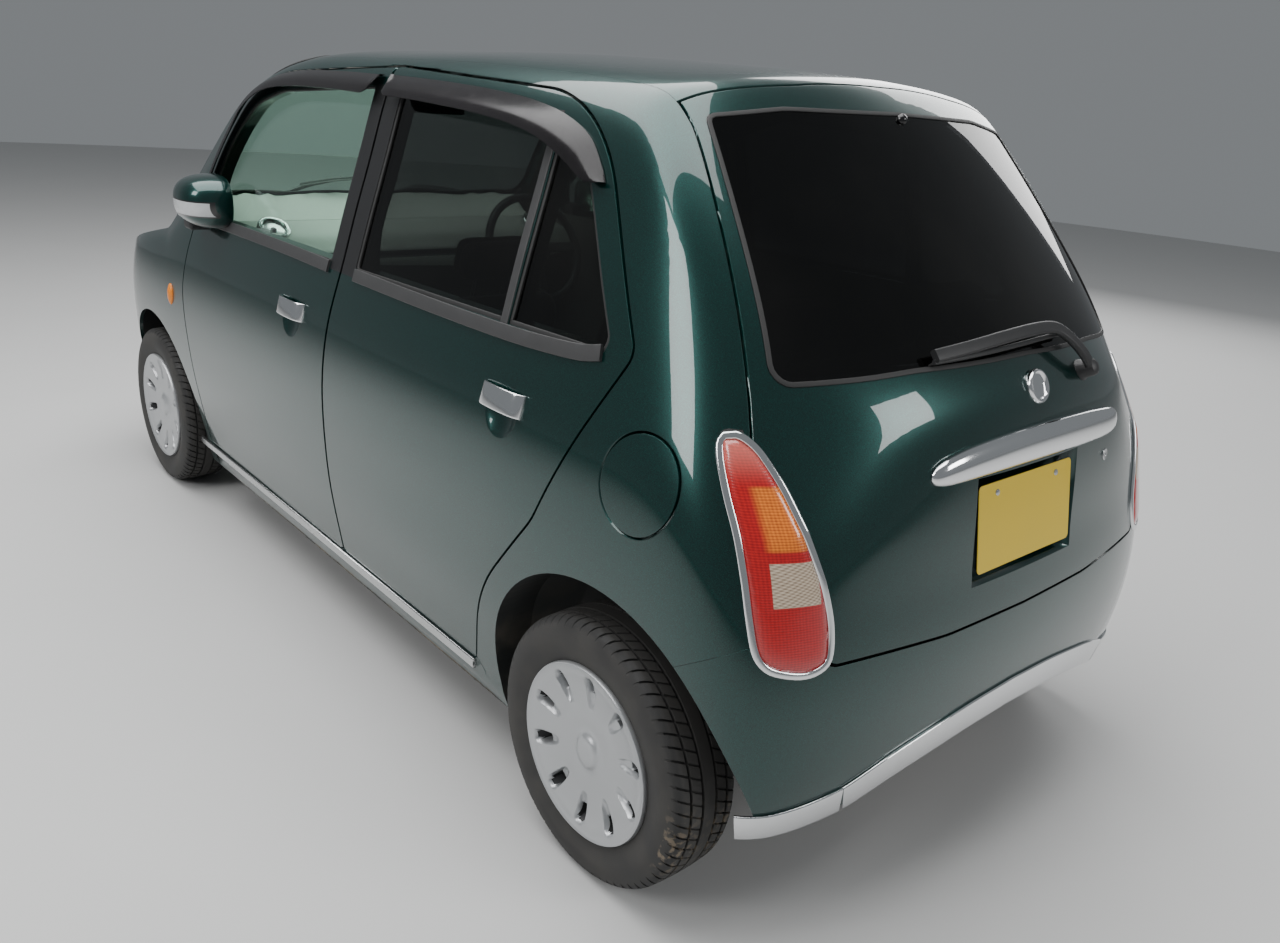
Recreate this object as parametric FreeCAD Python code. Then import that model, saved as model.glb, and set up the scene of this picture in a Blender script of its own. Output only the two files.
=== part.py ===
import FreeCAD, Part
import os
from math import sqrt, sin, cos, tan, pi, hypot, radians

V = FreeCAD.Vector
os.makedirs("parts", exist_ok=True)

# Overall sizes, in millimetres: +X forward, +Y to the car's left, +Z up, ground at z = 0
length = 3395.0
width = 1475.0
roof_top = 1503.0
wheelbase = 2390.0
rear_overhang = 432.5
belly = 165.0
belt = 963.0
sill_top = 243.0

half_width = width / 2
tail_x = -length / 2
nose_x = length / 2
rear_axle_x = tail_x + rear_overhang
front_axle_x = rear_axle_x + wheelbase
b_pillar_x = rear_axle_x + 1068.0

# Thicknesses of the body, measured in from the outer skin
pane = 5.0
glass_in = 7.0
skin = 12.0
frame_in = 17.0
wall_low = 92.0
wall_high = 46.0
roof_depth = 38.0
flange = 32.0
ledge = 21.0

# Gaps
gap = 5.0
door_gap = 8.0
seam = 0.4
seat_gap = 0.3

# Wheels and running gear
tyre_radius = 266.0
tyre_width = 155.0
rim_radius = 165.0
cover_radius = 178.0
axle_z = tyre_radius
track_half = 655.0
arch_radius = 337.0
front_arch_radius = 335.0
front_arch_z = 262.0
rear_arch_z = 276.0
stub_radius = 12.0
run_clearance = 0.08
slot_count = 10
steer_limit = 34.0

# Lids and hinges
fuel_radius = 87.0
fuel_x = rear_axle_x - 66.0
fuel_z = 825.0


def ahead(x):
    return front_axle_x + x


def behind(x):
    return rear_axle_x + x


def under_roof(drop):
    return roof_top - drop


def smooth(table):
    # natural cubic spline through rows of (position, value), straight beyond its ends
    ts = [row[0] for row in table]
    vs = [row[1] for row in table]
    last = len(ts) - 1
    h = [ts[i + 1] - ts[i] for i in range(last)]
    diag = [1.0] * (last + 1)
    right = [0.0] * (last + 1)
    load = [0.0] * (last + 1)
    for i in range(1, last):
        diag[i] = 2 * (h[i - 1] + h[i])
        right[i] = h[i]
        load[i] = 6 * ((vs[i + 1] - vs[i]) / h[i] - (vs[i] - vs[i - 1]) / h[i - 1])
        share = h[i - 1] / diag[i - 1]
        diag[i] -= share * right[i - 1]
        load[i] -= share * load[i - 1]
    bend = [0.0] * (last + 1)
    for i in range(last - 1, 0, -1):
        bend[i] = (load[i] - right[i] * bend[i + 1]) / diag[i]

    def value(t):
        if t <= ts[0]:
            return vs[0] + ((vs[1] - vs[0]) / h[0] - h[0] * bend[1] / 6) * (t - ts[0])
        if t >= ts[last]:
            slope = (vs[last] - vs[last - 1]) / h[last - 1] + h[last - 1] * bend[last - 1] / 6
            return vs[last] + slope * (t - ts[last])
        i = 0
        while t > ts[i + 1]:
            i += 1
        p = t - ts[i]
        q = ts[i + 1] - t
        curve = (bend[i] * q ** 3 + bend[i + 1] * p ** 3) / (6 * h[i])
        return curve + (vs[i] / h[i] - bend[i] * h[i] / 6) * q + (vs[i + 1] / h[i] - bend[i + 1] * h[i] / 6) * p

    return value


def lower_of(a, b, blend):
    return 0.5 * (a + b - sqrt((a - b) ** 2 + blend * blend))


def upper_of(a, b, blend):
    return 0.5 * (a + b + sqrt((a - b) ** 2 + blend * blend))


# Side wall: rows of height, and how far the skin lies inside the half width there
tuck = smooth([(150, 69), (250, 47), (330, 32), (430, 15.5), (565, 3.5), (690, 1), (795, 10.5), (868, 25.5),
               (belt, 54.5), (under_roof(387), 99.5), (under_roof(260), 139.5), (under_roof(146), 173.5),
               (under_roof(73), 199.5), (under_roof(-37), 240)])
# Rear face and front face: rows of height, and how far the middle lies inside the length there
tail_in = smooth([(150, 60), (250, 22), (400, 0), (500, 3), (580, 14), (662, 30), (760, 43), (885, 60), (984, 72),
                  (1100, 95), (1300, 130), (1540, 180)])
nose_in = smooth([(150, 70), (250, 30), (400, 0), (500, 2), (600, 14), (680, 40), (760, 85), (900, 170),
                  (1540, 430)])
# Corners in plan: rows of height, and how square the corner is
tail_square = smooth([(150, 12), (600, 12), (800, 8), (950, 5), (1540, 5)])
nose_square = smooth([(150, 6), (600, 5.5), (800, 5), (1540, 5)])
tail_cap_x = behind(165)
nose_cap_x = ahead(-25)
taper_start = 900.0
taper_run = 560.0
tail_taper = 20.0
nose_taper = 25.0


def taper(x):
    past = max(0.0, abs(x) - taper_start) / taper_run
    return (tail_taper if x < 0 else nose_taper) * past ** 2


def wall_depth(z):
    # how thick the doors and side walls are at a height
    share = min(1.0, max(0.0, (z - belt + 60) / 120))
    return wall_low + (wall_high - wall_low) * share * share * (3 - 2 * share)


def wall(x, z, depth=0.0):
    half = half_width - tuck(z) - taper(x) - depth
    if x < tail_cap_x:
        share = (tail_cap_x - x) / (tail_cap_x - tail_x - tail_in(z) - depth)
        return half * sqrt(max(0.0, 1 - share ** tail_square(z)))
    if x > nose_cap_x:
        share = (x - nose_cap_x) / (nose_x - nose_in(z) - depth - nose_cap_x)
        return half * sqrt(max(0.0, 1 - share ** nose_square(z)))
    return half


# Lines along the middle of the roof and the bonnet: rows of x and height
roof_line = smooth([(behind(-235), under_roof(48)), (behind(105), under_roof(13)), (behind(465), under_roof(2)),
                    (behind(865), under_roof(0)), (ahead(-1125), under_roof(9)), (ahead(-825), under_roof(17)),
                    (ahead(-525), under_roof(48))])
bonnet_line = smooth([(ahead(-225), 950), (ahead(-25), 915), (ahead(175), 868), (ahead(325), 815),
                      (ahead(435), 750), (ahead(515), 670), (ahead(595), 570)])
# Edge where the top meets the side wall: rows of x and height
edge_rows = [(behind(-275), 810), (behind(-196), 960), (behind(-35), under_roof(303)),
             (behind(124), under_roof(128)), (behind(265), under_roof(81)), (behind(465), under_roof(65)),
             (behind(815), under_roof(59)), (ahead(-1275), under_roof(65)), (ahead(-975), under_roof(76)),
             (ahead(-735), under_roof(101)), (ahead(-570), under_roof(145)), (ahead(-450), under_roof(221)),
             (ahead(-360), under_roof(333)), (ahead(-290), 1080), (ahead(-225), 1000), (ahead(-145), 953),
             (ahead(-25), 923), (ahead(175), 866), (ahead(355), 785)]
edge_z = smooth(edge_rows)
edge_y = smooth([(x, wall(x, z)) for x, z in edge_rows])
roof_crown = 30.0
# Windscreen at its side edges: rows of x and height; its middle stands ahead by the bow
screen_line = smooth([(ahead(-735), 1530), (ahead(-570), 1400), (ahead(-450), 1290), (ahead(-360), 1188),
                      (ahead(-290), 1102), (ahead(-225), 1020), (ahead(-175), 957)])
screen_bow = 75.0
back_x = tail_x + 106.5
back_z = 1033.0
back_slope = (roof_top - 73 - back_z) / 371.0
back_bow = 114.0
shoulder_x = tail_x + 57.5
shoulder_z = 960.0


def top(x, y):
    # height of the upper skin: roof, windscreen, backlight and bonnet blended into one surface
    y = abs(y)
    roof = roof_line(x) - roof_crown * (y / 500) ** 2
    screen = screen_line(x - screen_bow * (1 - (y / 600) ** 2))
    backlight = back_z + back_slope * (x - back_x - back_bow * (y / 555) ** 2)
    shoulder = shoulder_z + 2.4 * (x - shoulder_x - 60 * (y / 555) ** 2)
    z = lower_of(lower_of(lower_of(roof, screen, 70), backlight, 30), shoulder, 50)
    if x > ahead(-625):
        z = upper_of(z, bonnet_line(x) - 30 * (y / 600) ** 2, 25)
    return lower_of(z, edge_z(x) + edge_y(x) - y, 40)


corner_steps = [0, 12, 24, 35, 45, 54, 62, 69, 75, 80, 84, 87, 89]
wall_levels = [250, 330, 430, 520, 600, 690, 780, 868, belt, under_roof(443), under_roof(343), under_roof(243),
               under_roof(146), under_roof(73)]
top_stations = [-455, -395, -335, -275, -215, -155, -95, -35, 15, 55, 95, 145, 205, 285, 385, 505, 665, 815, 965]
top_stations_ahead = [-1275, -1145, -1045, -955, -885, -815, -745, -675, -595, -515, -435, -355, -285, -225,
                      -175, -135, -105, -65, -5, 75, 175, 275, 355, 425, 485, 535, 595]
top_rows = [-90, 0, 90, 180, 270, 350, 420, 470, 510, 545, 580, 615, 650, 690, 740]
skin_top = under_roof(-27)
drop_down = 2200.0


def spline_face(grid):
    surface = Part.BSplineSurface()
    surface.interpolate(grid)
    return surface.toShape()


def flat_face(edges):
    wire = Part.Wire(Part.__sortEdges__(edges))
    wire.fixTolerance(0.001)
    return Part.Face(wire)


def wall_solid(depth_at):
    # left half of everything inside the side wall, moved in by depth_at(z)
    grid = []
    for z in [belly] + wall_levels + [skin_top]:
        depth = depth_at(z)
        half = half_width - tuck(z) - depth
        tail_end = tail_x + tail_in(z) + depth
        nose_end = nose_x - nose_in(z) - depth
        row = []
        for step in corner_steps:
            a = radians(step)
            x = tail_cap_x - (tail_cap_x - tail_end) * cos(a) ** (2 / tail_square(z))
            row.append(V(x, (half - taper(x)) * sin(a), z))
        for i in range(9):
            x = tail_cap_x + (nose_cap_x - tail_cap_x) * i / 8
            row.append(V(x, half - taper(x), z))
        for step in reversed(corner_steps):
            a = radians(step)
            x = nose_cap_x + (nose_end - nose_cap_x) * cos(a) ** (2 / nose_square(z))
            row.append(V(x, (half - taper(x)) * sin(a), z))
        grid.append(row)
    side = spline_face(grid)
    low, high, ends = None, None, []
    for edge in side.Edges:
        levels = [v.Point.z for v in edge.Vertexes]
        if max(levels) < belly + 1:
            low = edge
        elif min(levels) > skin_top - 1:
            high = edge
        else:
            ends.append(edge)
    low_line = Part.makeLine(low.Vertexes[0].Point, low.Vertexes[-1].Point)
    high_line = Part.makeLine(high.Vertexes[0].Point, high.Vertexes[-1].Point)
    faces = [side, flat_face([low, low_line]), flat_face([high, high_line]),
             flat_face(ends + [low_line, high_line])]
    solid = Part.makeSolid(Part.makeShell(faces))
    if solid.Volume < 0:
        solid.reverse()
    return solid


def top_solid(depth):
    grid = []
    for x in [behind(s) for s in top_stations] + [ahead(s) for s in top_stations_ahead]:
        row = []
        for y in top_rows:
            slope_x = (top(x + 1, y) - top(x - 1, y)) / 2
            slope_y = (top(x, y + 1) - top(x, y - 1)) / 2
            row.append(V(x, y, top(x, y) - depth * sqrt(1 + slope_x ** 2 + slope_y ** 2)))
        grid.append(row)
    return spline_face(grid).extrude(V(0, 0, -drop_down))


def hull(depth, top_depth=None):
    depth_at = depth if callable(depth) else (lambda z: depth)
    return wall_solid(depth_at).common(top_solid(depth if top_depth is None else top_depth))


def box(x0, x1, y0, y1, z0, z1):
    return Part.makeBox(x1 - x0, y1 - y0, z1 - z0, V(x0, y0, z0))


def rod(start, end, radius):
    way = V(*end) - V(*start)
    return Part.makeCylinder(radius, way.Length, V(*start), way)


def mirrored(shape):
    return shape.mirror(V(0, 0, 0), V(0, 1, 0))


def both(shape):
    return [shape, mirrored(shape)]


def fused(shapes):
    first = shapes[0]
    if len(shapes) == 1:
        return first
    return first.fuse(shapes[1:]).removeSplitter()


def whole(half):
    # a piece across the middle, from its left half
    return half.fuse(mirrored(half)).removeSplitter()


def save(node, *shapes):
    solids = []
    for shape in shapes:
        solids += shape.Solids
    shape = solids[0] if len(solids) == 1 else Part.makeCompound(solids)
    shape.exportStep("parts/" + node + ".step")
    print(node, len(solids), "solids", round(sum(s.Volume for s in solids) / 1000), "cm3")


def rounded(points, place):
    # closed outline with its corners rounded: rows of (a, b, corner radius)
    count = len(points)
    edges = []
    cuts = []
    for i in range(count):
        a, b, r = points[i]
        here = V(a, b, 0)
        back = V(points[i - 1][0], points[i - 1][1], 0) - here
        fore = V(points[(i + 1) % count][0], points[(i + 1) % count][1], 0) - here
        half_turn = (pi - back.getAngle(fore)) / 2
        run = min(r * tan(half_turn), 0.49 * back.Length, 0.49 * fore.Length)
        back.normalize()
        fore.normalize()
        if run < 0.05:
            cuts.append((here, here, here))
            continue
        r = run / tan(half_turn)
        bisector = back + fore
        bisector.normalize()
        middle = here + bisector * (r / cos(half_turn) - r)
        cuts.append((here + back * run, middle, here + fore * run))
    for i in range(count):
        start, middle, end = cuts[i]
        if (end - start).Length > 0.01:
            edges.append(Part.Arc(place(start), place(middle), place(end)).toShape())
        following = cuts[(i + 1) % count][0]
        if (following - end).Length > 0.01:
            edges.append(Part.makeLine(place(end), place(following)))
    return Part.Wire(edges)


def side_prism(points, grow=0.0, y0=0.0, y1=1000.0):
    wire = rounded(points, lambda p: V(p.x, y0, p.y))
    return grown_face(wire, grow).extrude(V(0, y1 - y0, 0))


def rear_prism(points, grow=0.0, x0=-2000.0, x1=0.0):
    wire = rounded(points, lambda p: V(x0, p.x, p.y))
    return grown_face(wire, grow).extrude(V(x1 - x0, 0, 0))


def plan_prism(points, grow=0.0, z0=0.0, z1=2000.0):
    wire = rounded(points, lambda p: V(p.x, p.y, z0))
    return grown_face(wire, grow).extrude(V(0, 0, z1 - z0))


def grown_face(wire, grow):
    face = Part.Face(wire)
    if grow:
        face = face.makeOffset2D(grow)
        face = Part.Face(face.OuterWire) if face.Faces else Part.Face(face)
    return face


# Outlines seen from the side: rows of x, height and corner radius
front_door = [(ahead(-373), sill_top, 15), (ahead(-377), 400, 400), (ahead(-337), 740, 300),
              (ahead(-375), 1015, 50), (ahead(-435), under_roof(278), 350), (ahead(-565), under_roof(158), 250),
              (ahead(-745), under_roof(110), 600), (b_pillar_x + door_gap / 2 + 2, under_roof(71), 8),
              (b_pillar_x + door_gap / 2, sill_top, 15)]
rear_door = [(b_pillar_x - door_gap / 2, sill_top, 15), (b_pillar_x - door_gap / 2, under_roof(69), 8),
             (behind(285), under_roof(87), 330), (behind(25), 1020, 38), (behind(189), 674, 200),
             (behind(375), 447, 600), (behind(429), sill_top, 12)]
front_window = [(ahead(-425), 962, 25), (ahead(-423), 1010, 40), (ahead(-480), under_roof(308), 300),
                (ahead(-590), under_roof(198), 200), (ahead(-755), under_roof(153), 400),
                (b_pillar_x + 57, under_roof(115), 12), (b_pillar_x + 57, 978, 12)]
rear_window = [(b_pillar_x - 65, 980, 12), (b_pillar_x - 65, under_roof(118), 12),
               (behind(320), under_roof(135), 240), (behind(87), 1030, 30), (behind(97), 1003, 12)]
divider = [(behind(387), 940, 0), (behind(401), under_roof(50), 0), (behind(387), under_roof(50), 0),
           (behind(373), 940, 0)]
bumper_side = [(tail_x - 60, 60, 0), (behind(-169), 60, 0), (behind(-169), 530, 0), (behind(-339), 645, 8),
               (behind(-347), 605, 0), (tail_x - 60, 596, 0)]
nose_bumper = [(nose_x + 60, 60, 0), (ahead(325), 60, 0), (ahead(325), 520, 20), (ahead(430), 590, 20),
               (nose_x + 60, 590, 0)]
lamp_side = [(behind(-172), 948, 20), (behind(-177), 925, 40), (behind(-261), 803, 300), (behind(-340), 650, 60),
             (behind(-350), 605, 20), (tail_x - 60, 605, 0), (tail_x - 60, 948, 0)]

# Outlines seen from behind, left half from the bottom up: rows of y, height and corner radius
backlight_half = [(0, 1033, 0), (300, 1027, 500), (556, 1007, 25), (464, under_roof(99), 25),
                  (300, under_roof(78), 300), (0, under_roof(73), 0)]
lamp_half = [(543, 605, 20), (556, 640, 60), (613, 925, 60), (613, 948, 0), (800, 948, 0), (800, 605, 0)]

# Arched foot of the rear bumper: everything under it is open
bumper_foot = [(0, 60, 0), (800, 60, 0), (800, 230, 0), (650, 236, 60), (483, 268, 200), (338, 308, 300),
               (170, 338, 600), (0, 346, 0)]

# Tailgate, left half from the bottom up: rows of y, distance from its hinge line and corner radius
tailgate_half = [(0, 1037, 0), (250, 1033, 600), (538, 1005, 40), (550, 958, 60), (607, 640, 80), (588, 558, 300),
                 (489, 90, 200), (484, 0, 0)]
tailgate_seam_x = tail_x + 532.5
seam_bow = 45.0
gate_hinge_x = tailgate_seam_x - 15
gate_hinge_z = under_roof(25)

# Outlines seen from above, left half from the rear forward
header_x = ahead(-705)
windscreen_half = [(header_x, 0, 0), (header_x - 8, 250, 500), (header_x - 62, 490, 40), (ahead(-215), 590, 60),
                   (ahead(-150), 300, 500), (ahead(-128), 0, 0)]
bonnet_half = [(ahead(-62), 0, 0), (ahead(-84), 300, 700), (ahead(-150), 585, 40), (ahead(300), 560, 400),
               (nose_x + 60, 555, 0), (nose_x + 60, 0, 0)]
# Foot of the bonnet seen from ahead: rows of y, height and corner radius
bonnet_foot = [(0, 696, 0), (330, 696, 60), (395, 744, 70), (478, 772, 90), (640, 778, 0), (640, 1100, 0),
               (0, 1100, 0)]
roof_half_y = 495.0


def seam_prism(x_mid, bow):
    # everything behind a bowed line across the roof
    rows = [(tail_x - 100, 900, 0), (tail_x - 100, -900, 0)]
    for y in (-900, -495, -250, 0, 250, 495, 900):
        rows.append((x_mid + bow * (y / 495) ** 2, y, 600 if abs(y) < 900 else 0))
    return plan_prism(rows)


def symmetric(half_rows):
    return half_rows + [(a, -b, r) for a, b, r in reversed(half_rows) if b > 0]


def sideways(half_rows):
    return half_rows + [(-a, b, r) for a, b, r in reversed(half_rows) if a > 0]


def gate_swing(grow, front_x):
    # everything that turns with the tailgate about its hinge line, up to a plane across the car
    half_rows = [(y + (grow if y > 400 else 0), reach + (grow if reach > 1000 else 0), r)
                 for y, reach, r in tailgate_half]
    wire = rounded(sideways(half_rows), lambda p: V(gate_hinge_x - p.y, p.x, gate_hinge_z))
    turned_face = Part.Face(wire).revolve(V(gate_hinge_x, 0, gate_hinge_z), V(0, 1, 0), 360)
    return turned_face.common(box(tail_x - 80, front_x, -800, 800, 0, 1700))


# Hulls: the left half of the body, at the depths that its panels need
outer = hull(0.0)
pane_back = hull(pane)
glass_face = hull(glass_in)
skin_back = hull(skin)
frame_face = hull(frame_in)
cabin = hull(wall_depth, roof_depth)
skin_layer = outer.cut(skin_back)
frame_layer = outer.cut(frame_face)
inner_layer = skin_back.cut(cabin)
shell = outer.cut(cabin)
print("hulls", round(outer.Volume / 1e6), round(cabin.Volume / 1e6), "litres")


def panel(outline_full, outline_inner):
    # a door: its flange at the skin and its deeper box
    return fused([skin_layer.common(outline_full), inner_layer.common(outline_inner)])


def set_in(shape, offset):
    moved = shape.copy()
    moved.translate(V(0, offset, 0))
    return moved


def slipped(rows, slip):
    # outline whose trailing edge leans along the car above the belt
    lean = slip / (roof_top - belt)
    tail = min(x for x, z, r in rows) + 420
    return [(x + (lean * max(0.0, z - belt) if x < tail else 0.0), z, r) for x, z, r in rows]


door_hinge_y = half_width - 7.5
lip_slant = 1.4
front_hinge_x = ahead(-397)
rear_hinge_x = b_pillar_x - 64


def skin_y(x, z):
    # half width of the skin at a height, also where the roof edge rounds it off
    low, high = 0.0, wall(x, z)
    if top(x, high) >= z:
        return high
    for _ in range(30):
        mid = (low + high) / 2
        if top(x, mid) > z:
            low = mid
        else:
            high = mid
    return low


def hinge_room(hinge_x, edge_rows_up):
    # room behind the skin that the leading lip of a door sweeps: rows of height and x of the lip
    profile = [V(0, 0, edge_rows_up[0][0])]
    for z, x in edge_rows_up:
        profile.append(V(hypot(x - hinge_x, skin_y(x, z) - skin * lip_slant - door_hinge_y) + gap, 0, z))
    profile.append(V(0, 0, edge_rows_up[-1][0]))
    room = Part.Face(Part.makePolygon(profile + profile[:1])).revolve(V(0, 0, 0), V(0, 0, 1), 360)
    return room.translated(V(hinge_x, door_hinge_y, 0))


front_lip = [(sill_top - gap, ahead(-373)), (400, ahead(-372)), (560, ahead(-352)), (740, ahead(-338)),
             (868, ahead(-347)), (belt, ahead(-363)), (1015, ahead(-374)), (1062, ahead(-384))]
rear_lip = [(z, b_pillar_x - door_gap / 2) for z in (sill_top - gap, 330, 430, 565, 690, 795, 868, belt, 1040,
                                                     under_roof(387), under_roof(260), under_roof(146),
                                                     under_roof(105), under_roof(85), under_roof(66))]
door_parts = {}
for name, outline, window in (("front", front_door, front_window), ("rear", rear_door, rear_window)):
    door = panel(side_prism(outline), side_prism(slipped(outline, 5.0), -flange))
    hole = side_prism(window)
    if name == "rear":
        hole = hole.cut(side_prism(divider))
    door = door.cut(hole)
    glass = glass_face.cut(skin_back).common(side_prism(window, -seat_gap))
    if name == "rear":
        glass = glass.cut(side_prism(divider, seat_gap))
    door_parts[name] = (door, glass)

handle_length = 150.0
handle_height = 34.0
handle_out = 24.0
handle_places = {"front": (ahead(-1122), 832), "rear": (behind(322), 857)}


def pull_handle(x, z):
    y = wall(x, z)
    bar = box(x - handle_length / 2, x + handle_length / 2, y - 20, y + handle_out, z - handle_height / 2,
              z + handle_height / 2)
    bar = bar.makeFillet(6, [e for e in bar.Edges if abs(e.tangentAt(e.FirstParameter).y) < 0.5 and
                             e.CenterOfMass.y > y])
    grip = box(x - handle_length / 2 + 24, x + handle_length / 2 - 24, y - 40, y + handle_out - 12, z - 50, z + 50)
    return bar.cut(grip).cut(set_in(outer, seat_gap))


def hand_cup(x, z):
    reach = 95.0
    return Part.makeSphere(reach, V(x, wall(x, z) + reach - 13, z))


# Door mirror, folded back along the window as it is parked
mirror_front = ahead(-443)
mirror_length = 207.0
mirror_inner = 679.0
mirror_deep = 118.0
mirror_low = 957.0
mirror_high = 145.0


def door_mirror():
    back = mirror_front - mirror_length
    outer_y = mirror_inner + mirror_deep
    mirror_top = mirror_low + mirror_high
    housing = box(back, mirror_front, mirror_inner, outer_y, mirror_low, mirror_top)
    housing = housing.makeFillet(60, [e for e in housing.Edges if abs(e.tangentAt(e.FirstParameter).y) > 0.9])
    housing = housing.makeFillet(48, [e for e in housing.Edges if e.CenterOfMass.y > outer_y - 1])
    recess = side_prism([(back + 14, mirror_low + 14, 48), (mirror_front - 14, mirror_low + 14, 48),
                         (mirror_front - 14, mirror_top - 14, 48), (back + 14, mirror_top - 14, 48)], 0,
                        mirror_inner - 1, mirror_inner + 5)
    arm = side_prism([(mirror_front - 42, mirror_low - 19, 10), (mirror_front + 12, mirror_low - 19, 10),
                      (mirror_front + 8, mirror_low + 40, 12), (mirror_front - 42, mirror_low + 40, 12)], 0, 600,
                     mirror_inner + 66)
    return fused([housing.cut(recess), arm]).cut(set_in(outer, seat_gap))


for name in ("front", "rear"):
    door, glass = door_parts[name]
    place = handle_places[name]
    door = door.cut(hand_cup(*place))
    handle = pull_handle(*place)
    for side, made in (("left", lambda s: s), ("right", mirrored)):
        save(name + "_" + side + "_door", made(door))
        save(name + "_" + side + "_glass", made(glass))
        save(name + "_" + side + "_handle", made(handle))
mirror_left = door_mirror()
save("left_mirror", mirror_left)
save("right_mirror", mirrored(mirror_left))

# Tailgate: flange and deeper box, its opening, backlight, garnish and wiper
seam_behind = seam_prism(tailgate_seam_x, seam_bow)
gate_outline = gate_swing(0, behind(250))
gate_inner = gate_swing(-ledge - gap, tailgate_seam_x - flange)
gate_open = gate_swing(gap, behind(250))
gate_inner_open = gate_swing(-ledge, tailgate_seam_x)
backlight_hole = rear_prism(sideways(backlight_half), 0, tail_x - 80, behind(250))
pocket_half_y = 178.0
pocket_low = 640.0
pocket_high = 842.0
plate_length = 330.0
plate_height = 165.0
plate_tilt = 11.0
pocket = box(tail_x - 80, tail_x + 76, -pocket_half_y, pocket_half_y, pocket_low, pocket_high)
gate = fused([skin_layer.common(gate_outline).common(seam_behind), inner_layer.common(gate_inner)])
gate = gate.cut(backlight_hole).cut(pocket)
save("tailgate", whole(gate))
backlight = outer.cut(pane_back).common(rear_prism(sideways(backlight_half), -seat_gap, tail_x - 80, behind(250)))
backlight = fused([backlight])
save("tailgate_glass", whole(backlight))

garnish_half = 306.0
garnish_z = 878.0
garnish_height = 52.0
garnish_out = 14.0
bar_face = plan_prism([(tail_x + 100, -garnish_half, 0), (tail_x + 100, garnish_half, 0),
                       (tail_x + 52, garnish_half, 20), (tail_x + 48 - garnish_out, 0, 1600),
                       (tail_x + 52, -garnish_half, 20)], 0, garnish_z - garnish_height / 2,
                      garnish_z + garnish_height / 2)
garnish = bar_face.cut(whole(outer.common(box(tail_x - 50, tail_x + 300, -1, 500, 700, 1000))).translated(
    V(-seat_gap, 0, 0)))
plate = box(-3, 0, -plate_length / 2, plate_length / 2, -plate_height / 2, plate_height / 2)
plate.rotate(V(0, 0, 0), V(0, 1, 0), plate_tilt)
plate.translate(V(tail_x + 50, 0, 742))
stay = box(tail_x + 48, tail_x + 76 - seat_gap, -40, 40, 722, 762)
plate = plate.fuse(stay)
save("number_plate", plate)
save("garnish", garnish)

# Rear wiper: arm from its pivot on the right to the left across the glass foot
wiper_pivot = (-188.0, 989.0)
wiper_knee = (-87.0, 1058.0)
wiper_tip = (269.0, 1042.0)
wiper_heel = (-150.0, 1066.0)


def on_top(x_guess, y, z):
    # x on the upper skin behind the car at a given y and height
    low, high = tail_x, x_guess
    for _ in range(40):
        mid = (low + high) / 2
        if top(mid, y) < z:
            low = mid
        else:
            high = mid
    return (low + high) / 2


def back_point(place, out):
    # point on the backlight side of the car, moved out along its slope
    y, z = place
    return V(on_top(behind(150), y, z) - out * 0.75, y, z + out * 0.66)


knee = back_point(wiper_knee, 26)
tip = back_point(wiper_tip, 14)
wiper = fused([Part.makeCylinder(17, 34, back_point(wiper_pivot, -6), V(-0.75, 0, 0.66)),
               rod(back_point(wiper_pivot, 22), knee, 8), Part.makeSphere(8, knee), rod(knee, tip, 7),
               rod(back_point(wiper_heel, 9), tip, 8), Part.makeSphere(8, tip)])
wiper = wiper.cut(whole(outer.common(box(tail_x - 50, behind(0), -1, 500, 900, 1200))).translated(
    V(-seat_gap, 0, seat_gap)))
wiper = max(wiper.Solids, key=lambda s: s.Volume)
save("rear_wiper", wiper)

# Tail lamps at the rear corners
lamp_zone = rear_prism(lamp_half, 0, tail_x - 80, behind(-100)).common(side_prism(lamp_side))
lamp_hole = rear_prism(lamp_half, seam, tail_x - 80, behind(-100)).common(side_prism(lamp_side, seam))
lamp = shell.common(lamp_zone)
save("tail_lamps", *both(lamp))

# Bonnet, windscreen and roof
def bonnet_zone(grow):
    return plan_prism(symmetric(bonnet_half), grow, 500).common(
        rear_prism(sideways(bonnet_foot), grow, ahead(-300), nose_x + 200))


bonnet_open = bonnet_zone(gap)
bonnet = skin_layer.common(bonnet_zone(0))
save("bonnet", whole(bonnet))
screen_prism = plan_prism(symmetric(windscreen_half), -seat_gap, 700)
screen_open = plan_prism(symmetric(windscreen_half), 0, 700)
windscreen = outer.cut(pane_back).common(screen_prism)
save("windscreen", whole(windscreen))
ahead_of_gate = seam_prism(tailgate_seam_x + gap, seam_bow)
roof_zone = box(behind(90), header_x + 60, -1, roof_half_y, 1200, 1600).cut(ahead_of_gate).cut(
    plan_prism(symmetric(windscreen_half), seam, 700))
roof_panel = skin_layer.common(roof_zone)
save("roof_panel", whole(roof_panel))

# Body sides: pillars, sills, roof rails and rear quarters, with the openings cut
rear_arch = Part.makeCylinder(arch_radius, 400, V(rear_axle_x, 490, rear_arch_z), V(0, 1, 0))
front_arch = Part.makeCylinder(front_arch_radius, 420, V(front_axle_x, 422, front_arch_z), V(0, 1, 0))
fuel_hole = Part.makeCylinder(fuel_radius + 2.5, 400, V(fuel_x, 500, fuel_z), V(0, 1, 0))
fender_rows = [(ahead(-380), 60, 0), (nose_x + 60, 60, 0), (nose_x + 60, 1100, 0), (ahead(-225), 998, 0),
               (ahead(-330), 1030, 0), (ahead(-380), 1000, 0)]
front_zone = side_prism(fender_rows, seam)
cowl_gap = 11.0
cowl_back = ahead(-240)
cowl_zone = box(cowl_back, ahead(-50), -1, 640, 800, 1100)
cowl_room = box(cowl_back - seam, ahead(-50), -1, 640 + seam, 800, 1100)
side_frame = shell.cut(frame_layer.common(side_prism(front_door, gap))).cut(
    frame_layer.common(side_prism(slipped(rear_door, -5.0), gap)))
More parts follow.
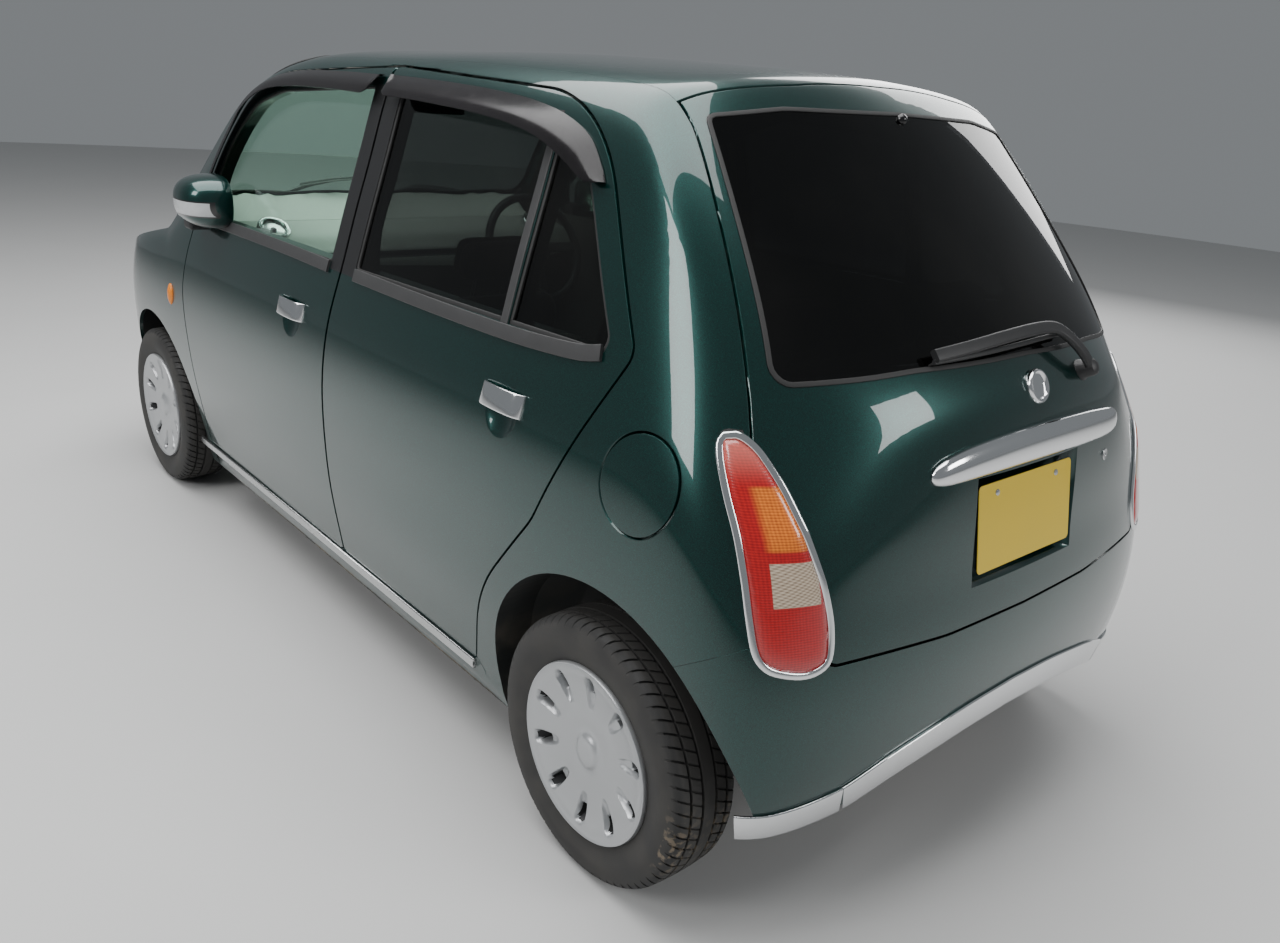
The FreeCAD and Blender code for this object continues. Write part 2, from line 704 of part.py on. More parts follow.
for outline in (front_door, rear_door):
    side_frame = side_frame.cut(side_prism(outline, -ledge, 0))
side_frame = side_frame.cut(hinge_room(front_hinge_x, front_lip)).cut(hinge_room(rear_hinge_x, rear_lip))
side_frame = side_frame.cut(frame_layer.common(gate_open).common(seam_prism(tailgate_seam_x + gap, seam_bow)))
side_frame = side_frame.cut(gate_inner_open)
gate_lip = [V(gate_hinge_x, -1, gate_hinge_z)]
for y in (-1, 150, 300, 400, tailgate_half[-1][0] + gap):
    lip_x = tailgate_seam_x + seam_bow * (y / roof_half_y) ** 2
    reach = hypot(lip_x - gate_hinge_x, top(lip_x, y) - skin - gate_hinge_z) + gap
    gate_lip.append(V(gate_hinge_x + reach, y, gate_hinge_z))
gate_lip.append(V(gate_hinge_x, tailgate_half[-1][0] + gap, gate_hinge_z))
gate_room = Part.Face(Part.makePolygon(gate_lip + gate_lip[:1])).revolve(
    V(gate_hinge_x, 0, gate_hinge_z), V(0, 1, 0), 360)
side_frame = side_frame.cut(gate_room.common(skin_back))
side_frame = side_frame.cut(box(behind(60), header_x + 100, -1, roof_half_y + seam, 1200, 1600).common(skin_layer))
side_frame = side_frame.cut(screen_open).cut(lamp_hole).cut(side_prism(bumper_side, seam)).cut(rear_arch)
side_frame = side_frame.cut(box(ahead(-215), nose_x + 50, -1, 800, 0, 1600)).cut(front_arch)
side_frame = side_frame.cut(front_zone.common(frame_layer)).cut(cowl_room.common(frame_layer))
left_side = side_frame.cut(fuel_hole.common(frame_layer))
print("side frame pieces", [round(s.Volume / 1000) for s in side_frame.Solids])
save("body_sides", *[s for s in left_side.Solids if s.Volume > 1e5],
     *[mirrored(s) for s in side_frame.Solids if s.Volume > 1e5])

# Fuel lid on the left rear quarter, with its cap behind it
fuel_disc = Part.makeCylinder(fuel_radius - gap / 2, 400, V(fuel_x, 500, fuel_z), V(0, 1, 0))
fuel_lid = outer.cut(pane_back).common(fuel_disc)
save("fuel_lid", fuel_lid)
fuel_skin = wall(fuel_x, fuel_z)
fuel_floor = fuel_skin - frame_in - 5
fuel_cap = fused([Part.makeCylinder(34, 7, V(fuel_x - 8, fuel_floor, fuel_z), V(0, 1, 0)),
                  box(fuel_x - 30, fuel_x + 14, fuel_floor + 6, fuel_floor + 9, fuel_z - 5, fuel_z + 5)])
fuel_cap = fuel_cap.cut(set_in(frame_face, seat_gap))
save("fuel_cap", fuel_cap)

# Front fenders, cowl, bumpers, grille and lamps
lamp_y = 478.0
lamp_z = 668.0
lamp_radius = 92.0
head_hole = Part.makeCylinder(lamp_radius + seam, 400, V(nose_x - 300, lamp_y, lamp_z), V(1, 0, 0))
head_lamp = outer.common(Part.makeCylinder(lamp_radius, 200, V(nose_x - 170, lamp_y, lamp_z), V(1, 0, 0)))
save("head_lamps", *both(head_lamp))
grille_half = [(0, 602, 0), (300, 606, 200), (345, 634, 26), (300, 664, 60), (0, 668, 0)]
grille_inner = rear_prism(sideways(grille_half), -9, ahead(300), nose_x + 60)
grille_zone = rear_prism(sideways(grille_half), 0, ahead(300), nose_x + 60)
slat_pitch = 14.0
slats = [box(ahead(400), nose_x + 60, -1, 340, 635 + slat_pitch * i - 2.5, 635 + slat_pitch * i + 2.5)
         for i in (-1, 0, 1)]
grille_frame = skin_layer.common(grille_zone.cut(grille_inner))
grille = fused([grille_frame] + [skin_layer.common(grille_zone).common(slat) for slat in slats])
save("grille", whole(grille))
cowl = skin_layer.common(cowl_zone).cut(screen_open).cut(bonnet_zone(cowl_gap)).cut(side_prism(front_door, gap))
cowl = max(cowl.Solids, key=lambda s: s.Volume)
save("cowl", whole(cowl))
fender_zone = side_prism(fender_rows, 0, -1)
fender = skin_layer.common(fender_zone).cut(side_prism(front_door, gap + 0.5)).cut(bonnet_open).cut(
    side_prism(nose_bumper, seam, -1)).cut(front_arch).cut(head_hole).cut(cowl_zone).cut(grille_zone).cut(screen_open)
nose_half = 380.0
nose_panel = fender.common(box(ahead(330), nose_x + 60, -1, nose_half, 0, 1000))
fender = fender.cut(box(ahead(330), nose_x + 60, -1, nose_half + seam, 0, 1000))
fender = max(fender.Solids, key=lambda s: s.Volume)
save("front_fenders", *both(fender))
nose_panel = max(nose_panel.Solids, key=lambda s: s.Volume)
save("nose_panel", whole(nose_panel))
rear_bumper = skin_layer.common(side_prism(bumper_side, 0, -1)).cut(
    gate_open).cut(lamp_hole).cut(rear_arch).cut(rear_prism(sideways(bumper_foot), 0, tail_x - 80, behind(-100)))
save("rear_bumper", whole(rear_bumper))
intake_half = [(0, 262, 0), (420, 268, 60), (470, 330, 40), (420, 392, 60), (0, 400, 0)]
intake = rear_prism(sideways(intake_half), 0, ahead(300), nose_x + 60)
bars = [box(ahead(400), nose_x + 60, -1, 480, z, z + 8) for z in (300, 330, 360)]
front_bumper = skin_layer.common(side_prism(nose_bumper, 0, -1))
front_bumper = front_bumper.cut(intake.cut(Part.makeCompound(bars))).cut(front_arch).cut(head_hole)
front_bumper = max(front_bumper.Solids, key=lambda s: s.Volume)
save("front_bumper", whole(front_bumper))

# Bright strips along the sills and on the rear bumper's foot
strip_out = 9.0
strip_low = 214.0


def sill_strip():
    y = wall(0, 237) - 2
    strip = box(behind(433), ahead(-288), y, y + strip_out, strip_low, sill_top - gap)
    strip = strip.makeFillet(4, [e for e in strip.Edges if e.CenterOfMass.y > y + strip_out - 1 and
                                 abs(e.tangentAt(e.FirstParameter).x) > 0.9])
    return strip.cut(set_in(outer, seat_gap))


save("sill_strips", *both(sill_strip()))

# Front structure: apron plates and strut seats, joined to the floor
floor_z = 190.0
floor_thick = 8.0
boot_z = 335.0
bulkhead_x = ahead(-238)
floor_side = [(bulkhead_x, 905), (bulkhead_x, 330), (bulkhead_x - 130, floor_z), (behind(440), floor_z),
              (behind(330), boot_z), (tail_x + 100, boot_z)]


def folded(points, thick):
    # a plate of even thickness along a side profile, as an outline
    upper = []
    for i, (x, z) in enumerate(points):
        before = points[max(0, i - 1)]
        after = points[min(len(points) - 1, i + 1)]
        dx = after[0] - before[0]
        dz = after[1] - before[1]
        size = hypot(dx, dz)
        upper.append((x + dz / size * thick, z - dx / size * thick))
    return [(x, z, 0) for x, z in points] + [(x, z, 0) for x, z in reversed(upper)]


floor_hull = hull(lambda z: wall_depth(z) + seam, roof_depth + seam)
rear_panel_line = [(tail_x + 104, -1), (tail_x + 107, 220), (tail_x + 122, 380), (tail_x + 160, 490),
                   (tail_x + 230, 570)]
rear_panel_top = 505.0
rear_panel = plan_prism(folded(rear_panel_line, floor_thick), 0, boot_z, rear_panel_top)
floor = side_prism(folded(floor_side, floor_thick), 0, -1, 700).fuse(rear_panel).common(floor_hull)
rear_house = Part.makeCylinder(arch_radius + 6, 200, V(rear_axle_x, 484, rear_arch_z), V(0, 1, 0))
front_house = Part.makeCylinder(front_arch_radius + 6, 200, V(front_axle_x, 414, front_arch_z), V(0, 1, 0))
front_room = Part.makeCylinder(front_arch_radius, 400, V(front_axle_x, 422, front_arch_z), V(0, 1, 0))
rear_room = Part.makeCylinder(arch_radius, 400, V(rear_axle_x, 492, rear_arch_z), V(0, 1, 0))
rear_shell = rear_house.cut(rear_room).common(floor_hull).common(box(behind(-600), behind(600), 0, 800, boot_z, 900))
tunnel_half = 90.0
tunnel = side_prism([(bulkhead_x - 110, floor_z, 0), (bulkhead_x - 110, 330, 0), (behind(520), 290, 60),
                     (behind(440), floor_z, 0)], 0, -1, tunnel_half)
tunnel_inside = side_prism([(bulkhead_x + 100, floor_z - 40, 0), (bulkhead_x + 100, 322, 0),
                            (behind(520), 282, 60), (behind(470), floor_z - 40, 0)], 0, -2, tunnel_half - 6)
floor = fused([floor.cut(front_room).cut(rear_room), rear_shell, tunnel]).cut(tunnel_inside)
apron = box(bulkhead_x, ahead(330), 408, 416, 330, 800)
strut_x = front_axle_x - 20
strut_plate_z = 794.0
strut_plate = box(strut_x - 85, strut_x + 85, 410, 600, strut_plate_z, strut_plate_z + floor_thick)
floor = fused([floor, apron, strut_plate])
floor = whole(max(floor.Solids, key=lambda s: s.Volume)).cut(frame_layer).cut(mirrored(frame_layer))
floor = max(floor.Solids, key=lambda s: s.Volume)
save("floor_pan", floor)


# Wheels, made at the origin with the outer face towards +Y
def turned(rows):
    # solid of revolution about Y: rows of y and radius
    points = [V(r, y, 0) for y, r in rows]
    face = Part.Face(Part.makePolygon(points + [points[0]]))
    return face.revolve(V(0, 0, 0), V(0, 1, 0), 360)


def tyre():
    half = tyre_width / 2
    return turned([(-half + 22, tyre_radius), (half - 22, tyre_radius), (half - 9, tyre_radius - 9),
                   (half, tyre_radius - 48), (half - 17, rim_radius + 3), (-half + 17, rim_radius + 3),
                   (-half, tyre_radius - 48), (-half + 9, tyre_radius - 9)])


def wheel():
    barrel = turned([(-68, 158), (-68, 173), (-63.2, 173), (-61.2, rim_radius + 2.6), (61.2, rim_radius + 2.6),
                     (63.2, 173), (68, 173), (68, 158), (30, 152), (30, 44), (18, 44), (18, 150), (0, 158)])
    cover = turned([(66, cover_radius), (74, 176), (76, 166), (70, 152), (62, 114), (59, 60), (59, 38), (66, 34),
                    (68, 0), (52, 0), (52, 60), (56, 114), (63, 150), (66, 168)])
    hub = turned([(-18, 0), (-18, 44), (24, 44), (24, 0)])
    bore = Part.makeCylinder(stub_radius + run_clearance, 30, V(0, -18, 0), V(0, 1, 0))
    cover_stay = turned([(24, 0), (24, 30), (53, 30), (53, 0)])
    shape = fused([barrel, cover, hub, cover_stay]).cut(bore)
    slot = plan_slot()
    for i in range(slot_count):
        one = slot.copy()
        one.rotate(V(0, 0, 0), V(0, 1, 0), 360 / slot_count * i)
        shape = shape.cut(one)
    return shape


def plan_slot():
    rows = [(-13, 122, 8), (13, 122, 8), (19, 158, 9), (-19, 158, 9)]
    wire = rounded(rows, lambda p: V(p.x, 40, p.y))
    return Part.Face(wire).extrude(V(0, 50, 0))


tyre_shape = tyre()
wheel_shape = wheel()
for end, x in (("front", front_axle_x), ("rear", rear_axle_x)):
    for side, y, turn in (("left", track_half, 0), ("right", -track_half, 180)):
        for node, shape in (("tyre", tyre_shape), ("wheel", wheel_shape)):
            placed = shape.copy()
            placed.rotate(V(0, 0, 0), V(0, 0, 1), turn)
            placed.translate(V(x, y, axle_z))
            save(end + "_" + side + "_" + node, placed)

# Front knuckles: stub, backing plate, upright, strut and spring about the steering axis
ball = V(front_axle_x, 600, 196)
strut_top = V(strut_x, 515, strut_plate_z - seat_gap - 1.6)
steer_way = (strut_top - ball).normalize()


def on_steer_axis(z):
    return ball + steer_way * ((z - ball.z) / steer_way.z)


stub_inner = track_half - 95.0
coil_pitch = 26.0
knuckle = fused([
    Part.makeCylinder(stub_radius, 95 - 2, V(front_axle_x, stub_inner, axle_z), V(0, 1, 0)),
    Part.makeCylinder(30, 40, V(front_axle_x, stub_inner - 6, axle_z), V(0, 1, 0)),
    Part.makeCylinder(104, 8, V(front_axle_x, track_half - 66, axle_z), V(0, 1, 0)).cut(
        rod(on_steer_axis(150), on_steer_axis(214), 30)),
    box(front_axle_x - 30, front_axle_x + 30, 548, track_half - 60, 226, 345),
    rod(on_steer_axis(212), on_steer_axis(244), 20),
    rod(on_steer_axis(188), on_steer_axis(216), 10),
    rod((front_axle_x, 538, 330), on_steer_axis(590), 21),
    box(front_axle_x - 26, front_axle_x + 20, 530, 567, 318, 380),
    rod(on_steer_axis(556), on_steer_axis(566), 62),
    rod(on_steer_axis(560), strut_top, 11),
    rod(on_steer_axis(770), on_steer_axis(782), 44)]
    + [rod(on_steer_axis(566 + coil_pitch * i), on_steer_axis(566 + coil_pitch * i + 13), 54) for i in range(8)]
    + [rod(on_steer_axis(566), on_steer_axis(772), 42)])
save("left_knuckle", knuckle)
save("right_knuckle", mirrored(knuckle))

# Lower arms on their cross member
eye = rod(on_steer_axis(190), on_steer_axis(208), 24).cut(rod(on_steer_axis(180), on_steer_axis(220), 10 + seat_gap))
arm = fused([rod((front_axle_x, 578, 199), (front_axle_x - 20, 330, 214), 13),
             rod((front_axle_x - 20, 560, 200), (front_axle_x - 210, 330, 214), 12)])
arm = arm.cut(rod(on_steer_axis(180), on_steer_axis(222), 22))
member = box(front_axle_x - 240, front_axle_x + 40, -345, 345, 200, 236)
member = member.cut(box(front_axle_x - 160, front_axle_x - 40, -230, 230, 190, 250))
post_back = front_axle_x - 231
links = [box(post_back, post_back + 41, min(y, y * 0.85), max(y, y * 0.85), 205, 236) for y in (-400, 400)]
posts = [box(post_back, post_back + 31, y - 20, y + 20, 205, 330) for y in (-384, 384)]
aprons = [box(post_back, post_back + 26, min(y, y * 1.07), max(y, y * 1.07), 325, 345) for y in (-378, 378)]
suspension = fused([member] + both(arm) + both(eye) + links + posts + aprons)
suspension = suspension.cut(fused(both(box(ahead(-400), ahead(400), 408 - seat_gap, 416, 320, 810))))
save("front_suspension", suspension)

# Rear beam, trailing arms and springs
beam_half = track_half - 66.0
rear_parts = [Part.makeCylinder(34, 2 * beam_half, V(rear_axle_x, -beam_half, axle_z), V(0, 1, 0)),
              Part.makeCylinder(stub_radius, 2 * (track_half - 2), V(rear_axle_x, -track_half + 2, axle_z),
                                V(0, 1, 0))]
spring_top = boot_z - seat_gap
for y in (-450, 450):
    rear_parts.append(rod((rear_axle_x, y, axle_z - 6), (behind(462), y * 0.93, 166), 16))
    rear_parts.append(box(behind(445), behind(485), y * 0.93 - 22, y * 0.93 + 22, 150, floor_z - seat_gap))
    rear_parts.append(Part.makeCylinder(40, spring_top - axle_z, V(behind(40), y * 0.8, axle_z), V(0, 0, 1)))
    rear_parts.append(rod((rear_axle_x, y * 0.8, axle_z), (behind(40), y * 0.8, axle_z), 26))
for sign in (-1, 1):
    rear_parts.append(Part.makeCylinder(106, 44, V(rear_axle_x, sign * (track_half - 85) - 22, axle_z), V(0, 1, 0)))
rear_axle = rear_parts[0]
for piece in rear_parts[1:]:
    rear_axle = rear_axle.fuse(piece)
save("rear_axle", rear_axle.removeSplitter())

# Engine with its gearbox, fuel tank and exhaust
engine = box(ahead(-150), ahead(290), -375, 375, 252, 700)
engine = engine.makeFillet(30, engine.Edges)
feet = [box(ahead(-35), ahead(25), y - 40, y + 40, 236 + seat_gap, 262) for y in (-270, 270)]
save("engine", fused([engine] + feet))
tank = box(behind(95), behind(315), -345, 345, 205, boot_z + floor_thick)
save("fuel_tank", max(tank.makeFillet(24, tank.Edges).cut(floor).Solids, key=lambda s: s.Volume))
pipe_z = 167.0
pipe_y = -150.0


def bent_tube(points, radius):
    # tube along straight runs with rounded corners
    pieces = []
    for i in range(len(points) - 1):
        pieces.append(rod(points[i][:3], points[i + 1][:3], radius))
        if i:
            pieces.append(Part.makeSphere(radius, V(*points[i][:3])))
    return fused(pieces)


muffler_x = tail_x + 248
muffler = Part.makeCylinder(82, 520, V(muffler_x, -420, 236), V(0, 1, 0))
muffler = muffler.makeFillet(16, muffler.Edges)
tail_pipe = rod((muffler_x, -360, 205), (tail_x + 130, -360, 192), 20)
front_pipe = bent_tube([(ahead(-140), pipe_y, 300), (ahead(-250), pipe_y, pipe_z), (behind(330), pipe_y, pipe_z),
                        (behind(230), pipe_y, 158), (behind(-60), pipe_y, 180), (muffler_x, pipe_y, 230)], 20)
hanger = box(muffler_x - 15, muffler_x + 15, -175, -145, 300, boot_z - seat_gap)
exhaust = fused([front_pipe, muffler, tail_pipe, hanger]).cut(fused([engine])).cut(suspension)
save("exhaust", max(exhaust.Solids, key=lambda s: s.Volume))

# Dashboard with its column, and the steering wheel
dash_side = [(bulkhead_x - seam - floor_thick, 620, 0), (bulkhead_x - seam - floor_thick, 900, 20),
             (ahead(-330), 938, 60), (ahead(-500), 918, 50), (ahead(-540), 860, 40), (ahead(-500), 700, 60),
             (ahead(-430), 620, 30)]
column_y = -330.0
column_tilt = 26.0
wheel_centre = V(ahead(-690), column_y, 880)
column_way = V(cos(radians(column_tilt)), 0, -sin(radians(column_tilt)))
dash_ends = [(-1, 600, 0), (half_width - 104, 600, 0), (half_width - 104, 700, 60), (half_width - 128, 868, 60),
             (half_width - 142, 945, 0), (half_width - 142, 1000, 0), (-1, 1000, 0)]
dash = side_prism(dash_side, 0, -1, 700).common(floor_hull).common(
    rear_prism(dash_ends, 0, ahead(-600), bulkhead_x))
column_start = wheel_centre + column_way * 46
dash = fused([whole(dash), rod(column_start, wheel_centre + column_way * 260, 36)])
save("dashboard", dash)
rim = Part.makeTorus(178, 14, V(0, 0, 0), V(0, 0, 1))
spokes = [box(-178, 178, -16, 16, -4, 6), box(-14, 14, -178, 0, -4, 6)]
boss = Part.makeCylinder(62, 26, V(0, 0, -8))
shaft = Part.makeCylinder(16, 54, V(0, 0, -46 + seat_gap))
steering_wheel = fused([rim, boss, shaft] + spokes)
steering_wheel.rotate(V(0, 0, 0), V(0, 0, 1), 90)
steering_wheel.rotate(V(0, 0, 0), V(0, 1, 0), column_tilt - 90)
steering_wheel.translate(wheel_centre)
save("steering_wheel", steering_wheel)


# Seats: cushion, leaning back and headrest, wide across Y
def seat_shape(x, y, wide, high_back, foot_z, rests, lean):
    cushion = box(x - 250, x + 250, y - wide / 2, y + wide / 2, foot_z + 130, foot_z + 290)
    cushion = cushion.makeFillet(40, cushion.Edges)
    base = box(x - 200, x + 190, y - wide / 2 + 50, y + wide / 2 - 50, foot_z, foot_z + 160)
    back = box(-60, 60, y - wide / 2, y + wide / 2, 0, high_back)
    back = back.makeFillet(38, back.Edges)
    back.rotate(V(0, 0, 0), V(0, 1, 0), -lean)
    back.translate(V(x - 215, 0, foot_z + 200))
    parts = [cushion, base, back]
    for centre in rests:
        head = box(-42, 42, centre - 115, centre + 115, high_back + 22, high_back + 140)
        head = head.makeFillet(34, head.Edges)
        post = box(-8, 8, centre - 50, centre - 38, high_back - 60, high_back + 60)
        post2 = box(-8, 8, centre + 38, centre + 50, high_back - 60, high_back + 60)
        for piece in (head, post, post2):
            piece.rotate(V(0, 0, 0), V(0, 1, 0), -lean)
            piece.translate(V(x - 215, 0, foot_z + 200))
            parts.append(piece)
    return fused(parts)


floor_top = floor_z + floor_thick + seat_gap
front_seat = seat_shape(ahead(-1030), 330, 470, 560, floor_top, [330], 18)
save("front_seats", *both(front_seat))
rear_seat = seat_shape(behind(420), 0, 950, 440, boot_z + floor_thick + 3, [-260, 260], 20)
save("rear_seat", rear_seat)

# Front wipers on the cowl
wiper_parts = []
for x, y, reach in ((ahead(-108), 330, 420), (ahead(-92), -90, 430)):
    foot = V(x - 20, y, top(x - 20, y))
    wiper_parts.append(fused([
        Part.makeCylinder(13, 24, foot - V(0, 0, 2), V(0.5, 0, 0.85)),
        rod(foot + V(10, 0, 16), V(x - 65, y - reach * 0.5, top(x - 65, y - reach * 0.5) + 16), 6),
        rod(V(x - 62, y - 60, top(x - 62, y - 60) + 12), V(x - 62, y - reach, top(x - 62, y - reach) + 12), 7)]))
solid_top = whole(outer.common(box(ahead(-400), ahead(100), -1, 700, 800, 1200)))
wiper_parts = [w.cut(solid_top.translated(V(0, 0, seat_gap))) for w in wiper_parts]
save("front_wipers", *[max(w.Solids, key=lambda s: s.Volume) for w in wiper_parts])
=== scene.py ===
from math import sin, cos, exp, pi, sqrt, radians, hypot, atan2

import bpy
import bmesh
import numpy as np
from mathutils import Matrix, Vector
from mathutils.geometry import delaunay_2d_cdt


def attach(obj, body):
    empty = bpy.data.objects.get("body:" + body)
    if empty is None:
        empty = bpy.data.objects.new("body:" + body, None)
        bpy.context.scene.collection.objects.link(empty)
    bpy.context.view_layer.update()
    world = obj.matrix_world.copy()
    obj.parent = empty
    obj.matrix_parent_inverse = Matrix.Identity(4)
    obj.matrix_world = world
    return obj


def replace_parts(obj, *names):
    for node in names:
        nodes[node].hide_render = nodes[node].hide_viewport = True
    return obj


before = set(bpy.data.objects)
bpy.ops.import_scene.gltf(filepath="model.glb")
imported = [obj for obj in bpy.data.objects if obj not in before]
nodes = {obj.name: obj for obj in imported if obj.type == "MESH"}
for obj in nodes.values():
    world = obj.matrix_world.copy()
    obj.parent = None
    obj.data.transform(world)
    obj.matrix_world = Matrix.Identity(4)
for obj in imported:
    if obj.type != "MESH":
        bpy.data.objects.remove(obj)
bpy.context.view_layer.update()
mm = 0.001
rearAxleX = -1265.0
frontAxleX = 1125.0
pillarX = -197.0
axleZ = 266.0
trackHalf = 655.0
print("frame loaded:", len(nodes), "nodes")


# The body's skin as formulas, in millimetres, the same lines as the CAD model's


class SmoothLine:
    # smooth line through rows of (place, value), straight beyond its ends
    def __init__(self, rows):
        self.t, self.v = np.array(rows, float).T
        count = len(self.t)
        h = np.diff(self.t)
        system = np.eye(count)
        load = np.zeros(count)
        for i in range(1, count - 1):
            system[i, i - 1:i + 2] = h[i - 1], 2 * (h[i - 1] + h[i]), h[i]
            load[i] = 6 * ((self.v[i + 1] - self.v[i]) / h[i] - (self.v[i] - self.v[i - 1]) / h[i - 1])
        self.bend = np.linalg.solve(system, load)
        self.h = h

    def __call__(self, place):
        place = np.asarray(place, float)
        inside = np.clip(place, self.t[0], self.t[-1])
        i = np.clip(np.searchsorted(self.t, inside, side="right") - 1, 0, len(self.h) - 1)
        h, p, q = self.h[i], inside - self.t[i], self.t[i + 1] - inside
        low, high, bendLow, bendHigh = self.v[i], self.v[i + 1], self.bend[i], self.bend[i + 1]
        value = (bendLow * q ** 3 + bendHigh * p ** 3) / (6 * h)
        value += (low / h - bendLow * h / 6) * q + (high / h - bendHigh * h / 6) * p
        slope = (high - low) / h - h * (bendHigh - bendLow) / 6
        slope = slope + (bendHigh * p ** 2 - bendLow * q ** 2) / (2 * h)
        return value + slope * (place - inside)


# how far the side, tail and nose stand in from their outermost places: rows of z, distance
tuck = SmoothLine([(150, 69), (250, 47), (330, 32), (430, 15.5), (565, 3.5), (690, 1), (795, 10.5),
                   (868, 25.5), (963, 54.5), (1116, 99.5), (1243, 139.5), (1357, 173.5), (1430, 199.5),
                   (1540, 240)])
tailIn = SmoothLine([(150, 60), (250, 22), (400, 0), (500, 3), (580, 14), (662, 30), (760, 43), (885, 60),
                     (984, 72), (1100, 95), (1300, 130), (1540, 180)])
noseIn = SmoothLine([(150, 70), (250, 30), (400, 0), (500, 2), (600, 14), (680, 40), (760, 85), (900, 170),
                     (1540, 430)])
tailSquare = SmoothLine([(150, 12), (600, 12), (800, 8), (950, 5), (1540, 5)])
noseSquare = SmoothLine([(150, 6), (600, 5.5), (800, 5), (1540, 5)])
tailCapX, noseCapX = -1100.0, 1100.0


def halfWidth(x, z):
    past = np.clip(abs(x) - 900, 0, None) / 560
    return 737.5 - tuck(z) - np.where(x < 0, 20, 25) * past ** 2


def wallForm(x, y, z):
    # below zero inside the side wall
    tail = np.clip((tailCapX - x) / (tailCapX + 1697.5 - tailIn(z)), 0, 2) ** tailSquare(z)
    nose = np.clip((x - noseCapX) / (1697.5 - noseIn(z) - noseCapX), 0, 2) ** noseSquare(z)
    return (y / halfWidth(x, z)) ** 2 + tail + nose - 1


def wallY(x, z):
    # how far out the side wall stands at a place along the car and a height
    return halfWidth(x, z) * np.sqrt(np.clip(-wallForm(x, 0 * x, z), 0, None))


# heights of the roof, bonnet, roof edge and windscreen along the car: rows of x, z
roofLine = SmoothLine([(-1500, 1455), (-1160, 1490), (-800, 1501), (-400, 1503), (0, 1494), (300, 1486),
                       (600, 1455)])
bonnetLine = SmoothLine([(900, 950), (1100, 915), (1300, 868), (1450, 815), (1560, 750), (1640, 670),
                         (1720, 570)])
edgeRows = [(-1540, 810), (-1461, 960), (-1300, 1200), (-1141, 1375), (-1000, 1422), (-800, 1438),
            (-450, 1444), (-150, 1438), (150, 1427), (390, 1402), (555, 1358), (675, 1282), (765, 1170),
            (835, 1080), (900, 1000), (980, 953), (1100, 923), (1300, 866), (1480, 785)]
edgeZ = SmoothLine(edgeRows)
edgeY = SmoothLine([(x, float(wallY(np.float64(x), z))) for x, z in edgeRows])
screenLine = SmoothLine([(390, 1530), (555, 1400), (675, 1290), (765, 1188), (835, 1102), (900, 1020),
                         (950, 957)])


def lowerOf(a, b, blend):
    return 0.5 * (a + b - np.sqrt((a - b) ** 2 + blend * blend))


def topZ(x, y):
    # height of the upper skin: roof, windscreen, backlight and bonnet
    x, y = np.asarray(x, float), abs(np.asarray(y, float))
    roof = roofLine(x) - 30 * (y / 500) ** 2
    screen = screenLine(x - 75 * (1 - (y / 600) ** 2))
    backlight = 1033 + (1430 - 1033) / 371 * (x + 1591 - 114 * (y / 555) ** 2)
    shoulder = 960 + 2.4 * (x + 1640 - 60 * (y / 555) ** 2)
    z = lowerOf(lowerOf(lowerOf(roof, screen, 70), backlight, 30), shoulder, 50)
    bonnet = bonnetLine(x) - 30 * (y / 600) ** 2
    z = np.where(x > 500, -lowerOf(-z, -bonnet, 25), z)
    return lowerOf(z, edgeZ(x) + edgeY(x) - y, 40)


def skinAt(points, blend=30.0):
    # depth of points (metres) inside the skin, in mm, and the skin's outward direction there
    points = np.asarray(points, float).reshape(-1, 3) * 1000
    side = np.where(points[:, 1] < 0, -1.0, 1.0)
    x, y, z = points[:, 0], abs(points[:, 1]), points[:, 2]
    step = 0.5
    wallWay = np.stack([wallForm(x + step, y, z) - wallForm(x - step, y, z),
                        wallForm(x, y + step, z) - wallForm(x, y - step, z),
                        wallForm(x, y, z + step) - wallForm(x, y, z - step)], 1) / (2 * step)
    wallSlope = np.maximum(np.linalg.norm(wallWay, axis=1), 1e-6)
    topWay = np.stack([topZ(x - step, y) - topZ(x + step, y), topZ(x, y - step) - topZ(x, y + step),
                       np.full_like(x, 2 * step)], 1) / (2 * step)
    topSlope = np.linalg.norm(topWay, axis=1)
    underWall = -wallForm(x, y, z) / wallSlope
    underTop = (topZ(x, y) - z) / topSlope
    share = 0.5 * (1 + (underWall - underTop) / np.sqrt((underWall - underTop) ** 2 + blend ** 2))
    way = (share / topSlope)[:, None] * topWay + ((1 - share) / wallSlope)[:, None] * wallWay
    way /= np.linalg.norm(way, axis=1)[:, None]
    way[:, 1] *= side
    nearTop = (underTop < underWall)[:, None]
    sharp = np.where(nearTop, topWay / topSlope[:, None], wallWay / wallSlope[:, None])
    sharp[:, 1] *= side
    return np.minimum(underWall, underTop), way, sharp


def skinHit(inner, outer, out=0.0):
    # where lines from inside to outside (mm) cross the skin, moved out along it, in metres
    inner, outer = np.array(inner, float).reshape(-1, 3), np.array(outer, float).reshape(-1, 3)
    low, high = np.zeros(len(inner)), np.ones(len(inner))
    for _ in range(24):
        mid = (low + high) / 2
        x, y, z = (inner + (outer - inner) * mid[:, None]).T
        within = (wallForm(x, abs(y), z) < 0) & (topZ(x, y) > z)
        low, high = np.where(within, mid, low), np.where(within, high, mid)
    spots = (inner + (outer - inner) * high[:, None]) * mm
    return spots + skinAt(spots)[1] * np.reshape(out, (-1, 1)) * mm


def asLine(points):
    return [Vector(p) for p in points]


def columnsOf(rows):
    # rows of two or three numbers as three columns, nought where the third is left out
    return np.array([tuple(row) + (0.0,) * (3 - len(row)) for row in rows], float).T


